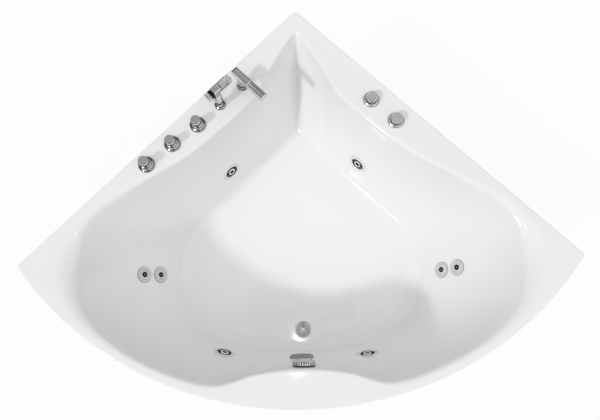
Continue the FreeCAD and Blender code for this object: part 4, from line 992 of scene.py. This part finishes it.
def dress_controls():
    collar = [
        (23.6, 9), (24.8, 8.8), (28.0, 7.2), (30.4, 5.2), (31.4, 3.4), (31.5, 0.5),
        (31.1, 0), *NUTTED_SHANK, (14, -48), (6, -52), (6, -60),
    ]
    # The moat takes the darker chrome, painted shade
    moat = [(21.7, 7.4, 1), (22.2, 8.2, 1), (22.9, 8.8)]
    regulator = collar + [(3.5, -60), (3.5, -30), (6.05, -30), (6.05, 7.4)] + moat
    button = collar + [(1.6, -60), (1.6, -44), (11.5, -44), (11.5, 1.5), (21.55, 1.5)]
    button += moat
    for name, rows, spot, node in (("regulator", regulator, REGULATOR, "air_regulator_body"),
                                   ("push_button", button, BUTTON, "button_body")):
        turned_piece(name + "_collar", [(rows + rows[:1], upright(*spot))],
                     [pale_satin, painted_shade_chrome], "tub", [node], 80, 30)
    # The black line at the knob's foot is painted shade, and its side and the thin ring on its top are
    # a darker chrome than the rest of the top, painted shade as well
    knob = [
        (0, -26), (6, -26), (6, 9.2), (20.6, 9.2, 1), (21.3, 9.8, 1), (21.5, 10.8, 2),
        (21.5, 24.5, 2), (21.2, 26.8, 2), (20.2, 28.6), (18.4, 29.6), (16.6, 29.9),
        (15.8, 29.5, 2), (15.0, 29.6), (8, 29.9), (0, 30),
    ]
    turned_piece("regulator_knob", [(knob, upright(*REGULATOR), Flutes(12, 1.8, 10, 25, None))],
                 [pale_satin, painted_gap_shade, tap_chrome], "air_regulator", ["air_regulator_knob"],
                 96, 30)
    # The button's side is a darker chrome than its top: painted shade
    push = [
        (0, -14), (10, -14), (10, 7.5), (20.8, 7.5, 2), (21.5, 8.2, 2), (21.5, 25.0, 2),
        (21.1, 27.2, 2), (20.0, 28.8), (18.2, 29.5), (16.8, 29.5), (12, 29.0),
        (6, 28.7), (0, 28.6),
    ]
    turned_piece("push_button_cap", [(push, upright(*BUTTON))],
                 [pale_satin, painted_gap_shade, tap_chrome], "push_button", ["air_button"], 72, 30)


def dress_button_spring():
    """Return spring of the air button."""
    wire, coil, low, high, turns, sides = 0.9, 6.5, -44.0, -14.0, 7, 10
    place = upright(*BUTTON)
    steps = turns * 24
    bm = bmesh.new()
    before = None
    for i in range(steps + 1):
        angle = 2 * math.pi * turns * i / steps
        out = Vector((math.cos(angle), math.sin(angle), 0))
        rise = low + wire + 0.1 + (high - low - 2 * wire - 0.2) * i / steps
        loop = []
        for k in range(sides):
            turn = 2 * math.pi * k / sides
            spot = out * (coil + wire * math.cos(turn)) + Vector((0, 0, rise - wire * math.sin(turn)))
            loop.append(bm.verts.new(place @ (spot / 1000)))
        if before:
            bridge(bm, before, loop)
        else:
            fill(bm, [loop[::-1]])
        before = loop
    fill(bm, [before])
    spring = finish_bars(bm, "return_spring", [spring_wire], "tub", ["button_spring"])
    tuple(at(*BUTTON, low))
    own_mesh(spring)


def dress_plug():
    # The plug's rings take the darker chrome as painted shade, and its middle dome the near-white
    # chrome as a painted highlight
    top = -428
    rows = [(0, top + 7, 2), (2.4, top + 6.9, 2), (4.6, top + 6.4, 2), (6.0, top + 5.2, 2),
            (6.4, top + 3.6), (7.0, top + 2.6, 1), (8.2, top + 2.2, 1)]
    for r in (10, 13.4, 16.8, 20.2):
        rows += [(r, top + 3.3 - r * 0.03), (r + 1.3, top + 3.5 - r * 0.03),
                 (r + 1.7, top + 2.3 - r * 0.03, 1), (r + 2.9, top + 2.2 - r * 0.03, 1)]
    rows += [(24, top + 2.2), (26, top + 1.2), (27, top), (27, top - 1.5),
             (23, top - 1.5), (21, top - 0.6), (4, top - 1.5), (4, -478), (0, -478)]
    turned_piece("plug_top", [(rows, upright(*DRAIN))], [bright, painted_shade_chrome, painted_highlight_chrome],
                 "drain_plug", ["drain_plug"], 72, 30)


def dress_overflow():
    # The black grooves between the ribs, the black line at the rear and the thin ring on the face are
    # painted shade
    front, rear = 18.5, 2.0
    rows = [
        (0, front), (20, front), (21, front - 0.4, 1), (22, front), (35, front),
        (37.4, front - 0.4), (38.8, front - 1.4), (39.4, front - 2.6),
        (39.5, front - 3.2), (39.5, rear + 3.6), (39.5, rear + 3.0),
        (38.6, rear + 2.6, 1), (39.5, rear + 1.6, 1), (39.5, rear + 0.4, 1),
        (39.0, rear, 1), (35.5, rear, 1), (35.5, front - 5), (10, front - 5),
        (10, rear + 3), (6, rear + 3), (6, -30), (0, -30),
    ]
    grooves = Flutes(28, 2.4, rear + 3.2, front - 0.9, 1)
    turned_piece("overflow_grip", [(rows, axis_turn(*wall_spot(*OVERFLOW)), grooves)],
                 [bright, painted_gap_shade], "overflow_knob", ["overflow_knob"], 336, 30)


# ---- repeated small forms

class NodeBuilder:
    """Geometry nodes with named inputs, ending in real geometry and its material."""

    def __init__(self, name, inputs, material):
        self.tree = bpy.data.node_groups.new(name, "GeometryNodeTree")
        self.sockets = {}
        for label, (kind, value) in inputs.items():
            socket = self.tree.interface.new_socket(label, in_out="INPUT", socket_type=kind)
            socket.default_value = value
            self.sockets[label] = socket.identifier
        self.tree.interface.new_socket("Geometry", in_out="OUTPUT", socket_type="NodeSocketGeometry")
        self.entry = self.tree.nodes.new("NodeGroupInput")
        self.exit = self.tree.nodes.new("NodeGroupOutput")
        self.material = material

    def add(self, kind, settings=None, **links):
        return add_node(self.tree, kind, settings, **links)

    def close(self, geometry):
        solid = self.add("GeometryNodeRealizeInstances", Geometry=geometry)
        coat = self.add("GeometryNodeSetMaterial", Geometry=solid.outputs[0], Material=self.material)
        self.tree.links.new(coat.outputs[0], self.exit.inputs[0])


def dot_field_tree(name, material):
    """Low round dots in staggered rows on a flat or gently falling floor."""
    b = NodeBuilder(name, {
        "Across": ("NodeSocketInt", 10), "Rows": ("NodeSocketInt", 10),
        "Pitch": ("NodeSocketFloat", 0.01), "Dot radius": ("NodeSocketFloat", 0.002),
        "Dot height": ("NodeSocketFloat", 0.0005), "Middle": ("NodeSocketVector", (0, 0, 0)),
        "Fall": ("NodeSocketFloat", 0.0), "Fall start": ("NodeSocketFloat", 0.0),
        "Clear spot": ("NodeSocketVector", (9, 9, 9)), "Clear radius": ("NodeSocketFloat", 0.0),
    }, material)
    took = b.entry.outputs

    def calc(operation, one, two=0.0):
        return b.add("ShaderNodeMath", {"operation": operation}, i0=one, i1=two).outputs[0]

    wide = calc("MULTIPLY", calc("SUBTRACT", took["Across"], 1.0), took["Pitch"])
    deep = calc("MULTIPLY", calc("SUBTRACT", took["Rows"], 1.0), calc("MULTIPLY", took["Pitch"], 0.5))
    grid = b.add("GeometryNodeMeshGrid", Size_X=wide, Size_Y=deep, Vertices_X=took["Across"],
                 Vertices_Y=took["Rows"])
    count = b.add("GeometryNodeInputIndex").outputs[0]
    odd = calc("MODULO", calc("MODULO", count, took["Rows"]), 2.0)
    shift = b.add("ShaderNodeCombineXYZ", X=calc("MULTIPLY", odd, calc("MULTIPLY", took["Pitch"], 0.5)))
    laid = b.add("GeometryNodeSetPosition", Geometry=grid.outputs[0], Offset=shift.outputs[0])
    moved = b.add("GeometryNodeSetPosition", Geometry=laid.outputs[0], Offset=took["Middle"])
    place = b.add("GeometryNodeInputPosition").outputs[0]
    y = b.add("ShaderNodeSeparateXYZ", i0=place).outputs[1]
    drop = calc("MULTIPLY", calc("MAXIMUM", calc("SUBTRACT", took["Fall start"], y), 0.0), took["Fall"])
    down = b.add("ShaderNodeCombineXYZ", Z=calc("MULTIPLY", drop, -1.0))
    fallen = b.add("GeometryNodeSetPosition", Geometry=moved.outputs[0], Offset=down.outputs[0])
    away = b.add("ShaderNodeVectorMath", {"operation": "DISTANCE"}, i0=place, i1=took["Clear spot"])
    near = calc("LESS_THAN", away.outputs["Value"], took["Clear radius"])
    kept = b.add("GeometryNodeDeleteGeometry", {"domain": "POINT"}, Geometry=fallen.outputs[0],
                 Selection=near)
    points = b.add("GeometryNodeMeshToPoints", Mesh=kept.outputs[0])
    dot = b.add("GeometryNodeMeshCone", {"fill_type": "NGON"}, Vertices=10, Side_Segments=1,
                Radius_Top=calc("MULTIPLY", took["Dot radius"], 0.6), Radius_Bottom=took["Dot radius"],
                Depth=took["Dot height"])
    spread = b.add("GeometryNodeInstanceOnPoints", Points=points.outputs[0], Instance=dot.outputs[0])
    b.close(spread.outputs[0])
    return b


def grow(name, builder, values, body, slot):
    """Runs a node tree on an empty mesh and keeps the result as a plain piece."""
    obj = new_object(name, bpy.data.meshes.new(name))
    modifier = obj.modifiers.new("grow", "NODES")
    modifier.node_group = builder.tree
    for label, value in values.items():
        modifier[builder.sockets[label]] = value
    mesh = applied(obj)
    obj.modifiers.clear()
    obj.data = mesh
    mesh.materials.clear()
    mesh.materials.append(builder.material)
    shade(mesh, 35)
    return settle(obj, body, [])


def dress_floor():
    """Anti-slip dots on the floor in front of the waste."""
    grow("anti_slip_dots", dot_field_tree("floor_dots", floor_dot), {
        "Across": 36, "Rows": 21, "Pitch": 0.013, "Dot radius": 0.0026, "Dot height": 0.0007,
        "Middle": tuple(at(*DOTS, -BASIN)), "Fall": SUMP_DROP / (SUMP_FRONT - SUMP_START),
        "Fall start": at(0, -SUMP_START).y, "Clear spot": tuple(at(*DRAIN, -BASIN - 7)),
        "Clear radius": 0.062,
    }, "tub", "acrylic")


dress_jets("large", JETS, large_insert_rows(), jet_flange_rows(43, 29.5, 33), [jet_white, jet_pale],
           [black, jet_chrome, painted_gap_shade, jet_white], "jet_rings", "jet_nozzle_%d", "jet_%d", 22.6)
dress_jets("small", SMALL_JETS, small_insert_rows(), jet_flange_rows(32.5, 21, 24),
           [jet_pale, jet_grey], [black, jet_pale, jet_grey], "small_jet_rings", "small_jet_%d",
           "side_jet_%d")
dress_handles()
dress_hand_shower()
dress_spout()
dress_controls()
dress_button_spring()
dress_plug()
dress_overflow()
dress_floor()

# ---- camera, floor and light

PHOTO_WIDTH = 600
FOCAL = 470.0             # focal length in pixels of the photo
SENSOR = 36
EYE = (13.1, -1192.2, 1630.0)
TURNS = (("Z", -0.0207), ("X", -0.22996), ("Y", 0.00584))


def add_camera():
    """View from above the basin, tipped a little to the front."""
    looks = Matrix.Identity(3)
    for axis, angle in TURNS:
        looks = looks @ Matrix.Rotation(angle, 3, axis)
    right, down, ahead = looks @ Matrix(((1, 0, 0), (0, -1, 0), (0, 0, -1)))
    data = bpy.data.cameras.new("camera")
    data.sensor_width = SENSOR
    data.lens = FOCAL / PHOTO_WIDTH * SENSOR
    data.clip_start = 0.05
    camera = new_object("camera", data)
    spin = Matrix((right, -down, -ahead)).transposed().to_4x4()
    camera.matrix_world = Matrix.Translation(at(*EYE)) @ spin
    bpy.context.scene.camera = camera


def add_floor():
    """Pale floor that the camera and the gloss see as white."""
    bm = bmesh.new()
    size = 9.0
    bm.faces.new([bm.verts.new((x * size, y * size, -0.0005))
                  for x, y in ((-1, -1), (1, -1), (1, 1), (-1, 1))])
    mesh = as_mesh(bm, "floor")
    material = bpy.data.materials.new("floor_white")
    material.use_nodes = True
    tree = material.node_tree
    tree.nodes.clear()
    path = add_node(tree, "ShaderNodeLightPath").outputs
    plain = add_node(tree, "ShaderNodeBsdfDiffuse", Color=rgb(0.8)).outputs[0]
    glow = add_node(tree, "ShaderNodeEmission", Color=rgb(1.0)).outputs[0]
    soft = add_node(tree, "ShaderNodeMixShader", i0=0.93, i1=plain, i2=glow).outputs[0]
    either = add_node(tree, "ShaderNodeMath", {"operation": "MAXIMUM"}, i0=path["Is Camera Ray"],
                      i1=path["Is Glossy Ray"]).outputs[0]
    final = add_node(tree, "ShaderNodeMixShader", i0=either, i1=plain, i2=soft).outputs[0]
    add_node(tree, "ShaderNodeOutputMaterial", i0=final)
    mesh.materials.append(material)
    new_object("floor", mesh)


def sky_ramp(tree, stops, lean=0.0):
    """Brightness of the studio by height above the horizon; lean makes the front side brighter."""
    place = add_node(tree, "ShaderNodeTexCoord").outputs["Generated"]
    apart = add_node(tree, "ShaderNodeSeparateXYZ", i0=place).outputs
    ramp = add_node(tree, "ShaderNodeValToRGB", i0=apart["Z"])
    elements = ramp.color_ramp.elements
    while len(elements) < len(stops):
        elements.new(0.5)
    for element, (spot, value) in zip(elements, stops):
        element.position = spot
        element.color = rgb(value)
    side = add_node(tree, "ShaderNodeMath", {"operation": "MULTIPLY_ADD"}, i0=apart["Y"], i1=-lean,
                    i2=1.0)
    return add_node(tree, "ShaderNodeBackground", i0=ramp.outputs[0], i1=side.outputs[0]).outputs[0]


def shade_patch(tree, glow, towards):
    """Dark patch of the studio, where the camera stands."""
    place = add_node(tree, "ShaderNodeTexCoord").outputs["Generated"]
    aim = add_node(tree, "ShaderNodeVectorMath", {"operation": "DOT_PRODUCT"}, i0=place, i1=towards)
    edge = add_node(tree, "ShaderNodeMapRange", Value=aim.outputs["Value"], From_Min=0.965,
                    From_Max=0.985)
    dark = add_node(tree, "ShaderNodeBackground", i0=rgb(0.02)).outputs[0]
    both = add_node(tree, "ShaderNodeMixShader", i0=edge.outputs["Result"], i1=glow, i2=dark)
    return both.outputs[0]


def add_world():
    """White to the camera, a soft overhead sky, and a studio with a dark band for the gloss."""
    world = bpy.data.worlds.new("studio")
    bpy.context.scene.world = world
    world.use_nodes = True
    tree = world.node_tree
    tree.nodes.clear()
    path = add_node(tree, "ShaderNodeLightPath").outputs
    white = add_node(tree, "ShaderNodeBackground", i0=rgb(1.0)).outputs[0]
    gloss = shade_patch(tree, sky_ramp(tree, STUDIO), CAMERA_SHADE)
    first = add_node(tree, "ShaderNodeMixShader", i0=path["Is Glossy Ray"],
                     i1=sky_ramp(tree, SKY, SKY_LEAN), i2=gloss).outputs[0]
    last = add_node(tree, "ShaderNodeMixShader", i0=path["Is Camera Ray"], i1=first, i2=white)
    add_node(tree, "ShaderNodeOutputWorld", i0=last.outputs[0])


def add_lamp(name, kind, energy, travel, place=(0, 0, 3), **settings):
    data = bpy.data.lights.new(name, kind)
    data.energy = energy
    for key, value in settings.items():
        setattr(data, key, value)
    lamp = new_object(name, data)
    lamp.location = place
    lamp.rotation_mode = "QUATERNION"
    lamp.rotation_quaternion = Vector(travel).to_track_quat("-Z", "Y")


# Brightness by the sine of the height above the horizon
SKY = [(0.0, 0.05), (0.3, 0.28), (0.55, 0.70), (0.8, 0.86), (1.0, 0.88)]
SKY_LEAN = 0.24
STUDIO = [
    (0.0, 0.9), (0.07, 0.85), (0.11, 0.04), (0.44, 0.05), (0.52, 0.9), (0.78, 0.8), (0.88, 0.5),
    (0.96, 0.62), (1.0, 0.66),
]
CAMERA_SHADE = Vector((0.0, -0.52, 0.85)).normalized()

add_camera()
add_floor()
add_world()
add_lamp("key", "SUN", 0.98, (0.60, 0.46, -0.62), angle=0.10)
add_lamp("fill", "SUN", 0.30, (-0.60, 0.40, -0.50), angle=1.4)
add_lamp("ceiling", "AREA", 0.5, (0.02, 0.12, -1), at(-47, -1508, 1760), shape="DISK", size=0.084)
bpy.context.scene.view_settings.view_transform = "Standard"

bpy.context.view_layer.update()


def plain(box):
    return [[float(c) for c in corner] for corner in box]
